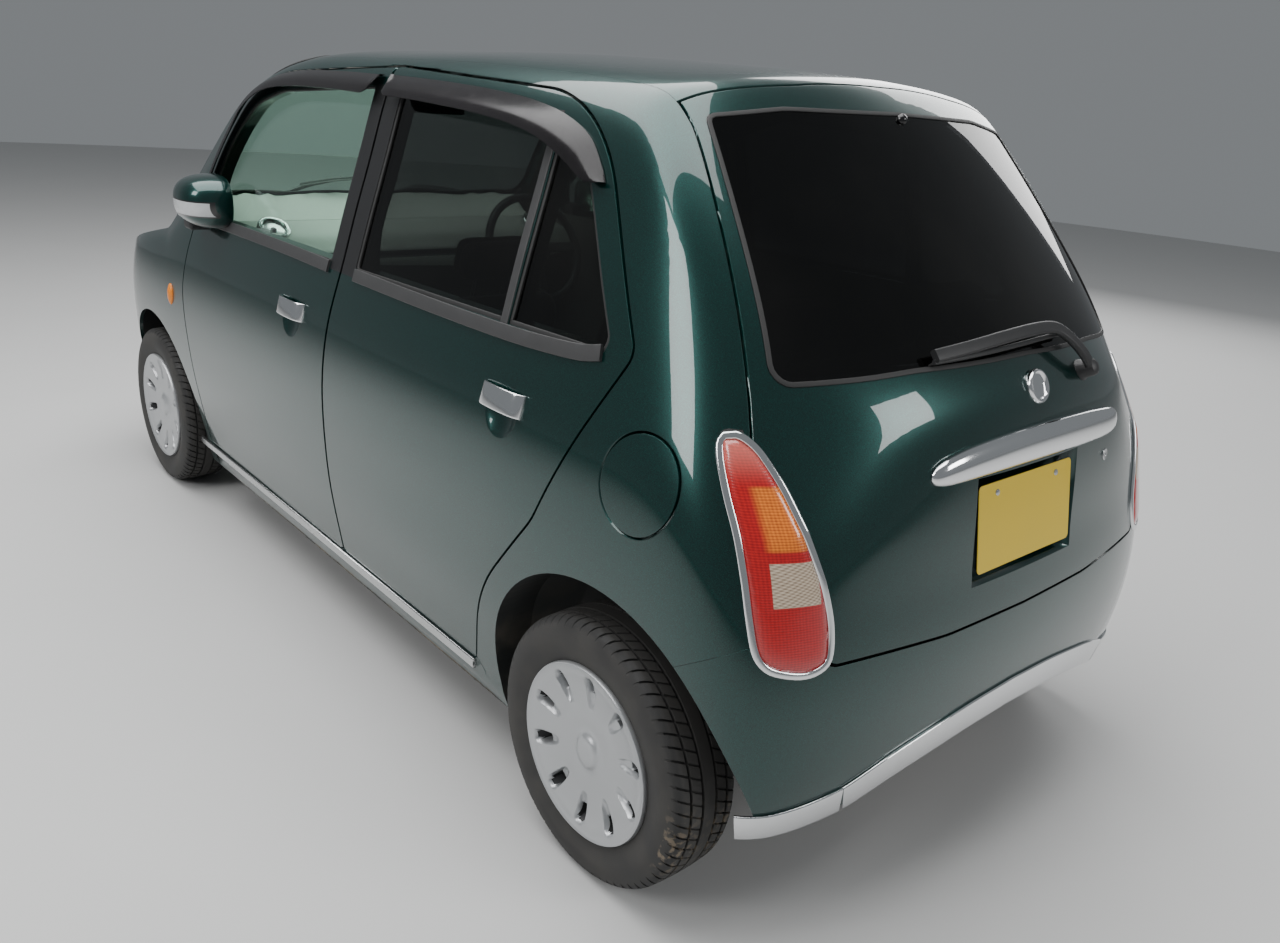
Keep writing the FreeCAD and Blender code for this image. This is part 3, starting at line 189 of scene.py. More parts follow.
def sideLine(rows):
    # points of the side wall from rows of (x, z, out)
    x, z, out = columnsOf(rows)
    return asLine(skinHit(np.stack([x, 0 * x, z], 1), np.stack([x, 0 * x + 770, z], 1), out))


def tailLine(rows):
    # points of the rear face from rows of (y, z, out)
    y, z, out = columnsOf(rows)
    return asLine(skinHit(np.stack([0 * y - 1100, y, z], 1), np.stack([0 * y - 1720, y, z], 1), out))


def noseLine(rows):
    # points of the front face from rows of (y, z, out)
    y, z, out = columnsOf(rows)
    return asLine(skinHit(np.stack([0 * y + 1150, y, z], 1), np.stack([0 * y + 1720, y, z], 1), out))


def topLine(rows):
    # points of the roof, screens and bonnet from rows of (x, y, out)
    x, y, out = columnsOf(rows)
    return asLine(skinHit(np.stack([x, y, 0 * x + 450], 1), np.stack([x, y, 0 * x + 1560], 1), out))


# Materials


def socketSum(operation, swapped=False):
    # a method that sums a value with another one, in this order or the other way round
    return lambda self, other: self.sum(operation, *((other, self) if swapped else (self, other)))


class Val:
    # a socket that takes part in sums
    def __init__(self, finish, socket):
        self.finish = finish
        self.socket = socket

    def sum(self, operation, *values):
        return self.finish.node("ShaderNodeMath", {"operation": operation}, values)

    __add__, __radd__ = socketSum("ADD"), socketSum("ADD", True)
    __sub__, __rsub__ = socketSum("SUBTRACT"), socketSum("SUBTRACT", True)
    __mul__, __rmul__ = socketSum("MULTIPLY"), socketSum("MULTIPLY", True)
    __truediv__, __pow__, larger = socketSum("DIVIDE"), socketSum("POWER"), socketSum("MAXIMUM")

    def __abs__(self):
        return self.sum("ABSOLUTE", self)

    def wave(self):
        return self.sum("SINE", self)

    def ramp(self, low, high, start=0.0, end=1.0):
        # smooth change from start to end as the value goes from low to high
        return self.finish.node("ShaderNodeMapRange", {"interpolation_type": "SMOOTHSTEP"},
                                [self, low, high, start, end])

    def within(self, low, high, edge):
        return self.ramp(low - edge, low) * self.ramp(high, high + edge, 1.0, 0.0)


class Finish:
    # one material: a Principled shader and what feeds it
    def __init__(self, name, **constants):
        self.material = bpy.data.materials.new(name)
        self.material.use_nodes = True
        self.tree = self.material.node_tree
        self.tree.nodes.clear()
        self.out = self.tree.nodes.new("ShaderNodeOutputMaterial")
        self.shader = self.tree.nodes.new("ShaderNodeBsdfPrincipled")
        self.tree.links.new(self.shader.outputs[0], self.out.inputs[0])
        for key, value in constants.items():
            socket = self.shader.inputs[key.replace("_", " ")]
            socket.default_value = (*value, 1.0) if isinstance(value, tuple) else value

    def node(self, kind, settings=None, inputs=(), output=0):
        made = self.tree.nodes.new(kind)
        for key, value in (settings or {}).items():
            if key == "stops":
                stops = made.color_ramp.elements
                while len(stops) < len(value):
                    stops.new(0.5)
                for stop, (place, colour) in zip(stops, value):
                    stop.position = place
                    stop.color = (*colour, 1.0)
            else:
                setattr(made, key, value)
        for key, value in (inputs.items() if isinstance(inputs, dict) else enumerate(inputs)):
            socket = made.inputs[key]
            if isinstance(value, Val):
                self.tree.links.new(value.socket, socket)
            else:
                colour = isinstance(value, tuple) and len(value) == 3 and len(socket.default_value) == 4
                socket.default_value = (*value, 1.0) if colour else value
        return Val(self, made.outputs[output])

    def place(self):
        return self.node("ShaderNodeTexCoord", output="Object")

    def axis(self, name):
        return self.node("ShaderNodeSeparateXYZ", None, [self.place()], name)

    def noise(self, scale, detail=3.0, stretch=None):
        where = self.place()
        if stretch:
            where = self.node("ShaderNodeVectorMath", {"operation": "MULTIPLY"}, [where, stretch])
        inputs = {"Vector": where, "Scale": scale, "Detail": detail}
        return self.node("ShaderNodeTexNoise", None, inputs, "Fac")

    def mix(self, mask, first, second):
        made = self.tree.nodes.new("ShaderNodeMix")
        made.data_type = "RGBA"
        sockets = {socket.identifier: socket for socket in [*made.inputs, *made.outputs]}
        for key, value in (("Factor_Float", mask), ("A_Color", first), ("B_Color", second)):
            if isinstance(value, Val):
                self.tree.links.new(value.socket, sockets[key])
            else:
                sockets[key].default_value = (*value, 1.0) if isinstance(value, tuple) else value
        return Val(self, sockets["Result_Color"])

    def feed(self, **values):
        for key, value in values.items():
            self.tree.links.new(value.socket, self.shader.inputs[key.replace("_", " ")])
        return self

    def bump(self, height, strength, distance, normal=None):
        inputs = {"Height": height, "Strength": strength, "Distance": distance}
        if normal:
            inputs["Normal"] = normal
        return self.feed(Normal=self.node("ShaderNodeBump", None, inputs))

    def softEdges(self, radius):
        return self.node("ShaderNodeBevel", {"samples": 4}, {"Radius": radius})


glassLook = {"gloss": 0.015, "dust": 0.012, "facing": 0.035, "glancing": 0.70, "power": 5}


def glassFinish(name, tint, dust=glassLook["dust"]):
    # thin pane: a tinted clear shader under a glancing reflection, with a little dust
    finish = Finish(name, Base_Color=(0.30, 0.29, 0.26), Roughness=0.8)
    clear = finish.node("ShaderNodeBsdfTransparent", None, {"Color": tint})
    mirrored = {"Color": (1.0, 1.0, 1.0), "Roughness": glassLook["gloss"]}
    shine = finish.node("ShaderNodeBsdfGlossy", None, mirrored)
    # glancing reflection from the angle alone, the same on a pane's front and back
    facing = finish.node("ShaderNodeLayerWeight", None, {"Blend": 0.5}, "Facing")
    glance = facing ** glassLook["power"] * glassLook["glancing"] + glassLook["facing"]
    pane = finish.node("ShaderNodeMixShader", None, [glance, clear, shine])
    if dust:
        grime = finish.noise(2.2, 3.0).ramp(0.40, 0.80) * dust
        pane = finish.node("ShaderNodeMixShader", None, [grime, pane, Val(finish, finish.shader.outputs[0])])
    else:
        finish.tree.nodes.remove(finish.shader)
    finish.tree.links.new(pane.socket, finish.out.inputs[0])
    return finish


def mottled(name, colour, roughness, metallic=0.0, fleck=0.25, scale=40.0, grain=0.0, **more):
    # plain finish whose tone and roughness wander a little, with a fine grain where asked
    finish = Finish(name, Metallic=metallic, **more)
    tone = finish.noise(scale, 4.0)
    lighter = tuple(min(1.0, c * (1 + fleck)) for c in colour)
    darker = tuple(c * (1 - fleck) for c in colour)
    finish.feed(Base_Color=finish.mix(tone, darker, lighter), Roughness=tone * 0.16 + (roughness - 0.08))
    if grain:
        finish.bump(finish.noise(grain, 2.0), 0.25, 0.0006)
    return finish


def dusted(finish, colour, roughness, top, strength, dust=(0.20, 0.17, 0.13)):
    # road dust that thickens towards the ground
    height = finish.axis("Z")
    veil = height.ramp(0.14, top, 1.0, 0.0) * finish.noise(11.0, 5.0).ramp(0.35, 0.72) * strength
    finish.feed(Base_Color=finish.mix(veil, colour, dust), Roughness=veil * 0.5 + roughness)
    return finish


# paint colours, and the dust low on the car
paintLook = {"deep": (0.0008, 0.018, 0.0155), "flake": (0.003, 0.076, 0.066), "dust": (0.15, 0.135, 0.105),
             "dustFoot": 0.14, "dustTop": 0.42, "dustShare": 0.14, "film": (0.011, 0.011, 0.012),
             "filmFoot": 0.966, "filmTop": 1.392}


def paintFinish(name, filmFrom=None, filmTo=None, lamp=None):
    # metallic paint with a clear coat; the dark film on the frames beside the middle pillar, or a lamp strip
    finish = Finish(name, Coat_Roughness=0.02, Coat_IOR=1.5)
    sparkle = finish.noise(1400.0, 1.0).ramp(0.40, 0.75)
    colour = finish.mix(sparkle, paintLook["deep"], paintLook["flake"])
    x, y, z = (finish.axis(name) for name in "XYZ")
    veil = z.ramp(paintLook["dustFoot"], paintLook["dustTop"], 1.0, 0.0)
    veil = veil * finish.noise(8.0, 5.0).ramp(0.40, 0.75) * paintLook["dustShare"]
    colour = finish.mix(veil, colour, paintLook["dust"])
    metal, rough, coat = 0.70 - veil * 0.6, veil * 0.45 + 0.30, 1.0 - veil
    if filmFrom:
        film = x.within(filmFrom, filmTo, 0.0004)
        film = film * z.within(paintLook["filmFoot"], paintLook["filmTop"], 0.0004)
        colour = finish.mix(film, colour, paintLook["film"])
        metal, rough, coat = metal * (1 - film), rough + film * 0.10, coat - film * 0.82
    if lamp:
        ribs = (z * 2100).wave() * 0.25 + 0.75
        (low, high), (back, front), outer, border = lamp["z"], lamp["x"], lamp["y"], lamp["border"]
        band = z.within(low, high, 0.0008) * x.within(back, front, 0.0008) * abs(y).ramp(outer, outer + 0.001)
        edge = z.within(low - border, high + border, 0.0005)
        edge = edge * x.within(back - border, front + border, 0.0005) * abs(y).ramp(outer - 0.003, outer)
        foot = z.ramp(lamp["foot"], lamp["foot"] + 0.0008, 1.0, 0.0)
        colour = finish.mix(edge.larger(foot), colour, (0.008, 0.008, 0.008))
        colour = finish.mix(band * ribs, colour, (0.74, 0.76, 0.77))
        metal, rough = metal * (1 - edge.larger(foot)), rough - band * 0.1
    finish.feed(Base_Color=colour, Metallic=metal, Roughness=rough, Coat_Weight=coat)
    finish.feed(Normal=finish.softEdges(0.0022))
    return finish


paint = paintFinish("green metallic paint")
doorPaint = paintFinish("green paint with pillar film", (pillarX - 65.5) * mm, (pillarX + 57.5) * mm)
mirrorPaint = paintFinish("mirror cover paint", lamp={"z": (0.998, 1.034), "x": (0.482, 0.664), "y": 0.715,
                                                      "border": 0.004, "foot": 0.972})
chrome = mottled("bright chrome", (0.84, 0.85, 0.86), 0.12, 1.0, 0.03, 3.0)
silver = mottled("silver wheel paint", (0.47, 0.48, 0.49), 0.36, 0.7, 0.05, 6.0, Coat_Roughness=0.2)
brightStrip = mottled("satin sill strip", (0.60, 0.61, 0.61), 0.26, 0.95, 0.05, 5.0)
blackPlastic = mottled("black plastic", (0.016, 0.016, 0.017), 0.46, grain=1500.0)
blackGloss = mottled("black gloss", (0.008, 0.008, 0.009), 0.12)
rubberSeal = mottled("window rubber", (0.018, 0.018, 0.018), 0.60)
beltGrey = mottled("grey belt moulding", (0.040, 0.040, 0.041), 0.46, fleck=0.12)
dashGrey = mottled("light grey dash", (0.44, 0.44, 0.41), 0.62, fleck=0.06, grain=1800.0)
dashDark = mottled("dark dash", (0.035, 0.035, 0.034), 0.6, grain=1800.0)
innerTrim = mottled("inner trim", (0.115, 0.11, 0.10), 0.8, grain=1200.0)
headliner = mottled("pale headliner", (0.40, 0.39, 0.36), 0.92, fleck=0.06, scale=300.0, grain=900.0)
carpet = mottled("dark carpet", (0.022, 0.021, 0.020), 0.95, fleck=0.5, scale=600.0, grain=700.0)
underbody = dusted(Finish("underbody coat"), (0.020, 0.022, 0.022), 0.62, 0.55, 0.7)
steel = dusted(Finish("black steel", Metallic=0.3), (0.035, 0.034, 0.033), 0.5, 0.5, 0.6)
castMetal = mottled("cast metal", (0.25, 0.25, 0.24), 0.55, 0.8, 0.3, 60.0)
pipeMetal = mottled("dull pipe", (0.30, 0.27, 0.24), 0.5, 0.85, 0.35, 25.0)
plateYellow = mottled("plate yellow", (0.78, 0.55, 0.035), 0.42, fleck=0.03, scale=8.0)
lampBlack = mottled("lamp housing", (0.03, 0.03, 0.03), 0.4)
mirrorFace = mottled("mirror glass", (0.75, 0.77, 0.78), 0.10, 1.0, 0.02, 2.0)
clearGlass = glassFinish("green clear glass", (0.84, 0.95, 0.90))
screenGlass = glassFinish("windscreen glass", (0.86, 0.95, 0.91))
darkGlass = glassFinish("dark privacy glass", (0.30, 0.31, 0.31))
backGlass = glassFinish("dark backlight", (0.17, 0.175, 0.18))
smokedVisor = mottled("smoked visor", (0.012, 0.011, 0.012), 0.20, fleck=0.05, Alpha=0.9,
                      Specular_IOR_Level=0.3)
clearLens = glassFinish("clear lens", (0.93, 0.94, 0.95), dust=0.0)
print("materials made")


# Pieces made from meshes


def linked(name, thing):
    made = bpy.data.objects.new(name, thing)
    bpy.context.scene.collection.objects.link(made)
    return made


def evaluated(piece):
    # the mesh of an object once its modifiers have run
    bpy.context.view_layer.update()
    return bpy.data.meshes.new_from_object(piece.evaluated_get(bpy.context.evaluated_depsgraph_get()))


def meshOf(name, shape):
    # the worked shape as a mesh of its own
    mesh = bpy.data.meshes.new(name)
    shape.to_mesh(mesh)
    shape.free()
    return mesh


def addPiece(name, mesh, body, slot, *finishes):
    piece = linked(name, mesh)
    for finish in finishes:
        mesh.materials.append(finish.material)
    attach(piece, body)
    return piece


def dropDoubled(shape):
    # of two faces on the same corners the second goes, and both where they lie back to back
    shape.verts.index_update()
    seen, spare = {}, []
    for face in shape.faces:
        corners = frozenset(v.index for v in face.verts)
        if corners in seen:
            spare.append(face)
            if face.normal.dot(seen[corners].normal) < 0 and seen[corners] not in spare:
                spare.append(seen[corners])
        seen[corners] = face
    bmesh.ops.delete(shape, geom=spare, context="FACES")
    return shape


def mergedCopy(*names):
    # the CAD nodes' triangles as one mesh with its doubles merged
    shape = bmesh.new()
    for name in names:
        shape.from_mesh(nodes[name].data)
    bmesh.ops.remove_doubles(shape, verts=shape.verts, dist=0.00002)
    bmesh.ops.dissolve_degenerate(shape, edges=shape.edges, dist=0.00001)
    return dropDoubled(shape)


def pointsOf(verts):
    return np.array([v.co for v in verts])


def refineSkin(shape, depth, longest):
    # splits the long triangles of the skin and sets their new points on the curved skin
    for _ in range(7):
        shape.verts.ensure_lookup_table()
        near = abs(skinAt(pointsOf(shape.verts))[0] - depth) < 1.3
        shape.verts.index_update()
        outside = [f for f in shape.faces if all(near[v.index] for v in f.verts)]
        long = {e for f in outside for e in f.edges if e.calc_length() > longest}
        if not long:
            break
        before = set(shape.verts)
        bmesh.ops.subdivide_edges(shape, edges=list(long), cuts=1)
        bmesh.ops.triangulate(shape, faces=[f for f in shape.faces if len(f.verts) > 3])
        fresh = [v for v in shape.verts if v not in before]
        if depth < 1:
            depths, _, sharp = skinAt(pointsOf(fresh))
            for vert, lack, out in zip(fresh, depths, sharp):
                if abs(lack) < 1.2:
                    vert.co += Vector(out) * float(lack) * mm
    return dropDoubled(shape)


def skinPiece(name, body, slot, sources, finishes, depth=0.0, back=None, longest=0.045, sort=None,
              blend=30.0):
    # a panel or pane from its CAD nodes, shaded by the skin's own curvature
    shape = refineSkin(mergedCopy(*sources), depth, longest)
    shape.verts.index_update()
    shape.faces.ensure_lookup_table()
    points = pointsOf(shape.verts)
    depths, ways, _ = skinAt(points, blend)
    centres = np.array([f.calc_center_median() for f in shape.faces])
    faceWays = np.array([f.normal for f in shape.faces])
    middle, middleWays, _ = skinAt(centres, blend)
    facing = (faceWays * middleWays).sum(1)
    normals = []
    for i, face in enumerate(shape.faces):
        front = abs(middle[i] - depth) < 1.0 and facing[i] > 0.55
        rear = back is not None and abs(middle[i] - back) < 1.6 and facing[i] < -0.55
        face.smooth = True
        if sort:
            face.material_index = sort(centres[i] * 1000, middle[i], facing[i])
        for vert in face.verts:
            on = front and abs(depths[vert.index] - depth) < 1.3
            normals.append(ways[vert.index] if on else (-ways[vert.index] if rear else (0.0, 0.0, 0.0)))
    mesh = meshOf(name, shape)
    mesh.set_sharp_from_angle(angle=radians(32))
    mesh.normals_split_custom_set([tuple(n) for n in normals])
    piece = addPiece(name, mesh, body, slot, *finishes)
    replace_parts(piece, *sources)
    return piece


def smoothCopy(name, body, slot, sources, finishes, angle=32, sort=None):
    # a CAD shape whose facets are shaded smooth between its real edges
    shape = mergedCopy(*sources)
    for face in shape.faces:
        face.smooth = True
        if sort:
            centre = face.calc_center_median()
            face.material_index = sort(np.array(centre) * 1000, face.normal)
    mesh = meshOf(name, shape)
    mesh.set_sharp_from_angle(angle=radians(angle))
    piece = addPiece(name, mesh, body, slot, *finishes)
    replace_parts(piece, *sources)
    return piece


def panelSort(centre, depth, facing):
    # outside and edges in paint, the cabin side in trim
    return 1 if facing < -0.55 and depth > 9 else 0


# wheel arches: place along, height and radius; heights of the sill's foot and of the headliner's edge
frameLook = {"arches": ((frontAxleX, 262, 335), (rearAxleX, 276, 337)), "foot": 172, "innerFoot": 215,
             "liner": 1290}


def frameSort(centre, depth, facing):
    # paint outside, coated steel in the wheel arches and underneath, trim inside and the headliner above it
    x, _, z = centre
    for archX, archZ, radius in frameLook["arches"]:
        if depth > 4 and abs(hypot(x - archX, z - archZ) - radius) < 4:
            return 2
    if z < frameLook["foot"] or (depth > 30 and z < frameLook["innerFoot"]):
        return 2
    if facing < -0.5 and depth > 9:
        return 3 if z > frameLook["liner"] else 1
    return 0


sides = (("left", 1), ("right", -1))
for side, sign in sides:
    for end in ("front", "rear"):
        node = f"{end}_{side}_door"
        skinPiece(f"{node}_panel", f"{node}_set", "paint", [node], [doorPaint, innerTrim], sort=panelSort)
        glass = f"{end}_{side}_glass"
        skinPiece(f"{glass}_pane", f"{node}_set", "clear_glass" if end == "front" else "dark_glass", [glass],
                  [clearGlass if end == "front" else darkGlass], depth=7.0, back=12.0, longest=0.09)
skinPiece("tailgate_panel", "tailgate_set", "paint", ["tailgate"], [paint, innerTrim], sort=panelSort,
          blend=24.0)
skinPiece("backlight_pane", "tailgate_set", "dark_glass", ["tailgate_glass"], [backGlass], back=5.0,
          longest=0.06)
for name, body, sources, finishes, sort in (
        ("bonnet_panel", "bonnet_lid", ["bonnet"], [paint, underbody], panelSort),
        ("body_frame", "body", ["body_sides"], [paint, innerTrim, underbody, headliner], frameSort),
        ("roof_skin", "body", ["roof_panel"], [paint, headliner], panelSort),
        ("wings", "body", ["front_fenders", "nose_panel"], [paint, underbody], panelSort),
        ("rear_bumper_skin", "body", ["rear_bumper"], [paint, underbody], panelSort),
        ("front_bumper_skin", "body", ["front_bumper"], [paint, underbody], panelSort),
        ("fuel_lid_disc", "fuel_flap", ["fuel_lid"], [paint], None)):
    skinPiece(name, body, "paint", sources, finishes, sort=sort)
skinPiece("windscreen_pane", "body", "clear_glass", ["windscreen"], [screenGlass], back=5.0, longest=0.07)
print("panels shaded")


# Strips that follow a path on the body


def stripTree():
    # sweeps a rounded bar along a line of points, standing on the direction stored with each point
    tree = bpy.data.node_groups.new("strip along a path", "GeometryNodeTree")
    for label, kind in (("Geometry", "Geometry"), ("Wide", "Float"), ("High", "Float"), ("Corner", "Float"),
                        ("Finish", "Material")):
        tree.interface.new_socket(label, in_out="INPUT", socket_type="NodeSocket" + kind)
    tree.interface.new_socket("Geometry", in_out="OUTPUT", socket_type="NodeSocketGeometry")

    def node(kind, inputs=None, **settings):
        made = tree.nodes.new(kind)
        for key, value in settings.items():
            setattr(made, key, value)
        for key, value in (inputs or {}).items():
            if isinstance(value, bpy.types.NodeSocket):
                tree.links.new(value, made.inputs[key])
            else:
                made.inputs[key].default_value = value
        return made.outputs if kind == "NodeGroupInput" or not made.outputs else made.outputs[0]

    given = node("NodeGroupInput")
    path = node("GeometryNodeMeshToCurve", {"Mesh": given["Geometry"]})
    outs = node("GeometryNodeInputNamedAttribute", {"Name": "outward"}, data_type="FLOAT_VECTOR")
    size = node("GeometryNodeInputNamedAttribute", {"Name": "thin"}, data_type="FLOAT")
    path = node("GeometryNodeSetCurveNormal", {"Curve": path, "Normal": outs}, mode="FREE")
    path = node("GeometryNodeSetCurveRadius", {"Curve": path, "Radius": size})
    bar = node("GeometryNodeCurvePrimitiveQuadrilateral", {"Width": given["High"], "Height": given["Wide"]})
    bar = node("GeometryNodeFilletCurve", {"Curve": bar, "Radius": given["Corner"], "Count": 3}, mode="POLY")
    swept = node("GeometryNodeCurveToMesh", {"Curve": path, "Profile Curve": bar, "Fill Caps": True})
    swept = node("GeometryNodeRealizeInstances", {"Geometry": swept})
    swept = node("GeometryNodeSetMaterial", {"Geometry": swept, "Material": given["Finish"]})
    node("NodeGroupOutput", {"Geometry": swept})
    return tree


strips = stripTree()
stripInputs = {item.name: item.identifier for item in strips.interface.items_tree if item.in_out == "INPUT"}


def strip(name, body, slot, finish, points, wide, high, corner=None, closed=False, thin=None, outs=None):
    # points in metres and sizes in millimetres; the bar stands on the skin there, or on the given directions
    outs = outs or outsOf(points)
    line = bpy.data.meshes.new(name)
    count = len(points)
    edges = [(i, i + 1) for i in range(count - 1)] + ([(count - 1, 0)] if closed else [])
    line.from_pydata([tuple(p) for p in points], edges, [])
    outwardWay = line.attributes.new("outward", "FLOAT_VECTOR", "POINT")
    outwardWay.data.foreach_set("vector", np.array([tuple(o) for o in outs], float).ravel())
    thinness = line.attributes.new("thin", "FLOAT", "POINT")
    thinness.data.foreach_set("value", [1.0] * count if thin is None else [float(t) for t in thin])
    holder = linked(name, line)
    sweep = holder.modifiers.new("sweep", "NODES")
    sweep.node_group = strips
    corner = 0.3 * min(wide, high) if corner is None else corner
    for label, value in (("Wide", wide * mm), ("High", high * mm), ("Corner", corner * mm),
                         ("Finish", finish.material)):
        sweep[stripInputs[label]] = value
    swept = evaluated(holder)
    bpy.data.objects.remove(holder)
    for face in swept.polygons:
        face.use_smooth = True
    swept.materials.clear()
    return addPiece(name, outward(swept, 50), body, slot, finish)


def borderLoops(node, depth, spacing=12.0):
    # the edges of a pane's or lamp's front face as evenly spaced closed lines
    shape = mergedCopy(node)
    shape.verts.index_update()
    near = abs(skinAt(pointsOf(shape.verts))[0] - depth) < 1.2
    centres = np.array([f.calc_center_median() for f in shape.faces])
    middle, ways, _ = skinAt(centres)
    facing = (np.array([f.normal for f in shape.faces]) * ways).sum(1)
    front = [f for f, m, c in zip(shape.faces, middle, facing)
             if abs(m - depth) < 1.2 and c > 0.6 and all(near[v.index] for v in f.verts)]
    known = set(front)
    steps = {}
    for face in front:
        for loop in face.loops:
            if not any(f in known for f in loop.edge.link_faces if f is not face):
                steps.setdefault(loop.vert.index, []).append(loop.link_loop_next.vert.index)
    at = {v.index: Vector(v.co) for v in shape.verts}
    shape.free()
    loops = []
    while steps:
        start = next(iter(steps))
        line, here = [], start
        while here in steps:
            line.append(at[here])
            ahead = steps[here].pop()
            if not steps[here]:
                del steps[here]
            here = ahead
        if len(line) > 8:
            loops.append(evenly(line + [line[0]], spacing)[:-1])
    return sorted(loops, key=lambda line: -len(line))


def evenly(line, spacing):
    # the same line with its points an even distance apart, in millimetres
    line = np.array([tuple(p) for p in line])
    run = np.concatenate([[0], np.cumsum(np.linalg.norm(np.diff(line, axis=0), axis=1))])
    count = max(2, int(round(run[-1] / (spacing * mm))))
    places = np.linspace(0, run[-1], count + 1)
    return [Vector(p) for p in np.stack([np.interp(places, run, line[:, k]) for k in range(3)], 1)]


def outsOf(points):
    return [Vector(way) for way in skinAt(np.array([tuple(p) for p in points]))[1]]


def lifted(points, out):
    return [p + o * out * mm for p, o in zip(points, outsOf(points))]


def inset(points, reach, out):
    # a closed line moved in towards its own middle, along the skin
    outs = outsOf(points)
    moved = []
    for i, (p, o) in enumerate(zip(points, outs)):
        along = (points[(i + 1) % len(points)] - points[i - 1]).normalized()
        moved.append(p + o.cross(along) * reach * mm + o * out * mm)
    return moved, outs


def onSide(sign, points):
    # a line of the left side, or the same on the right side
    return [Vector((p[0], sign * p[1], p[2])) for p in points]


# Wheels


def gridMesh(name, points, closeRows=False, closeColumns=False, materials=None):
    # mesh from rows of points; materials gives each face's material index
    rows, columns = points.shape[:2]
    faces, indices = [], []
    for i in range(rows if closeRows else rows - 1):
        for j in range(columns if closeColumns else columns - 1):
            a, b = (i + 1) % rows, (j + 1) % columns
            faces.append((i * columns + j, i * columns + b, a * columns + b, a * columns + j))
            indices.append(int(materials[i, j]) if materials is not None else 0)
    mesh = bpy.data.meshes.new(name)
    mesh.from_pydata([tuple(p) for p in points.reshape(-1, 3)], [], faces)
    mesh.polygons.foreach_set("material_index", indices)
    mesh.polygons.foreach_set("use_smooth", [True] * len(faces))
    mesh.update()
    return mesh


def outward(mesh, angle=35, merge=0.00002):
    # doubles merged, faces turned outward, edges sharper than the angle kept
    shape = bmesh.new()
    shape.from_mesh(mesh)
    bmesh.ops.remove_doubles(shape, verts=shape.verts, dist=merge)
    bmesh.ops.dissolve_degenerate(shape, edges=shape.edges, dist=merge)
    bmesh.ops.recalc_face_normals(shape, faces=shape.faces)
    shape.to_mesh(mesh)
    shape.free()
    mesh.set_sharp_from_angle(angle=radians(angle))
    return mesh


def ring(profile, steps):
    # closed turned shape about Y from rows of (y, radius), in millimetres
    turns = np.linspace(0, 2 * pi, steps, endpoint=False)
    ys, rs = (column[:, None] for column in np.array(profile, float).T)
    return np.stack([rs * np.sin(turns), np.repeat(ys, steps, 1), rs * np.cos(turns)], 2) * mm


def smoothPath(rows, steps, closed=False):
    # finer points along a rounded line through the rows (Catmull-Rom)
    rows = [np.array(r, float) for r in rows]
    count = len(rows)
    fine = []
    for i in range(count if closed else count - 1):
        a, b = rows[i], rows[(i + 1) % count]
        before = rows[i - 1] if (closed or i) else 2 * a - b
        after = rows[(i + 2) % count] if (closed or i + 2 < count) else 2 * b - a
        for k in range(steps):
            t = k / steps
            fine.append(0.5 * (2 * a + (b - before) * t + (2 * before - 5 * a + 4 * b - after) * t ** 2
                               + (3 * a - before - 3 * b + after) * t ** 3))
    if not closed:
        fine.append(rows[-1])
    return fine


# side wall and tread grooves of the tyre: rows of place across, radius, and of a groove's two edges
tyreLook = {"pitches": 68, "grooveDepth": 6.5, "slotDepth": 5.0, "slant": 0.55,
            "side": [(56, 163), (61, 167), (67, 177), (72, 192), (76, 209), (77.4, 220), (76.5, 233),
                     (73.5, 246), (69.5, 254.5), (64, 260), (57, 263.3)],
            "grooves": [(45.5, 40.5), (18.5, 13.5), (-13.5, -18.5), (-40.5, -45.5)]}


def tyreMesh(name):
    # tread with running grooves and slanted slots: the grid leans with the slots, so their edges are crisp
    look = tyreLook
    outer = [tuple(p) for p in smoothPath(look["side"], 2)]
    crown = []
    place = 52.0
    for high, low in look["grooves"]:
        crown += [(place, 0), (high + 0.6, 0), (high, 1), ((high + low) / 2, 1), (low, 1), (low - 0.6, 0)]
        place = low - 6
        if place > -45:
            crown.append((place - 4, 0))
    crown.append((-52.0, 0))
    rows = [(y, r, 0) for y, r in outer] + [(y, 266 - 2.2 * (y / 52) ** 2, deep) for y, deep in crown]
    rows += [(-y, r, 0) for y, r in reversed(outer)] + [(-50, 160, 0), (0, 157, 0), (50, 160, 0)]
    cuts = [0.0, 0.13, 0.165, 0.56, 0.965]
    turns = np.array([(i + cut) * 2 * pi / look["pitches"] for i in range(look["pitches"]) for cut in cuts])
    slotHere = np.array([1.0 if k % 5 in (0, 1) else 0.0 for k in range(len(turns))])
    points = np.zeros((len(rows), len(turns), 3))
    for i, (y, r, groove) in enumerate(rows):
        sideways = abs(y)
        lean = look["slant"] * np.sign(y) * max(0.0, sideways - 14) / 50 * 2 * pi / look["pitches"] * 2
        reach = 1.0 if 44 < sideways <= 64 and r > 255 else (0.55 if 19 < sideways < 40 else 0.0)
        if 64 < sideways < 72 and r > 250:
            reach = 0.5
        dip = look["grooveDepth"] * groove
        radius = r - np.maximum(dip, look["slotDepth"] * reach * slotHere)
        leant = turns + lean
        points[i] = np.stack([radius * np.sin(leant), np.full_like(turns, y), radius * np.cos(leant)], 1)
    return outward(gridMesh(name, points * mm, closeRows=True, closeColumns=True), 28)


coverLook = {"slots": 10, "slotMiddle": 127.0, "slotLong": 37.0, "slotWide": 18.0, "dish": 15.0,
             "profile": [(0, 69.5), (14, 69.3), (26, 68.0), (32, 65.2), (36, 61.5), (40, 59.8), (60, 59.6),
                         (90, 60.6), (120, 63.5), (145, 68.0), (158, 71.2), (165, 72.2), (170, 73.6),
                         (174, 75.4), (177, 75.2), (178, 72.5)]}


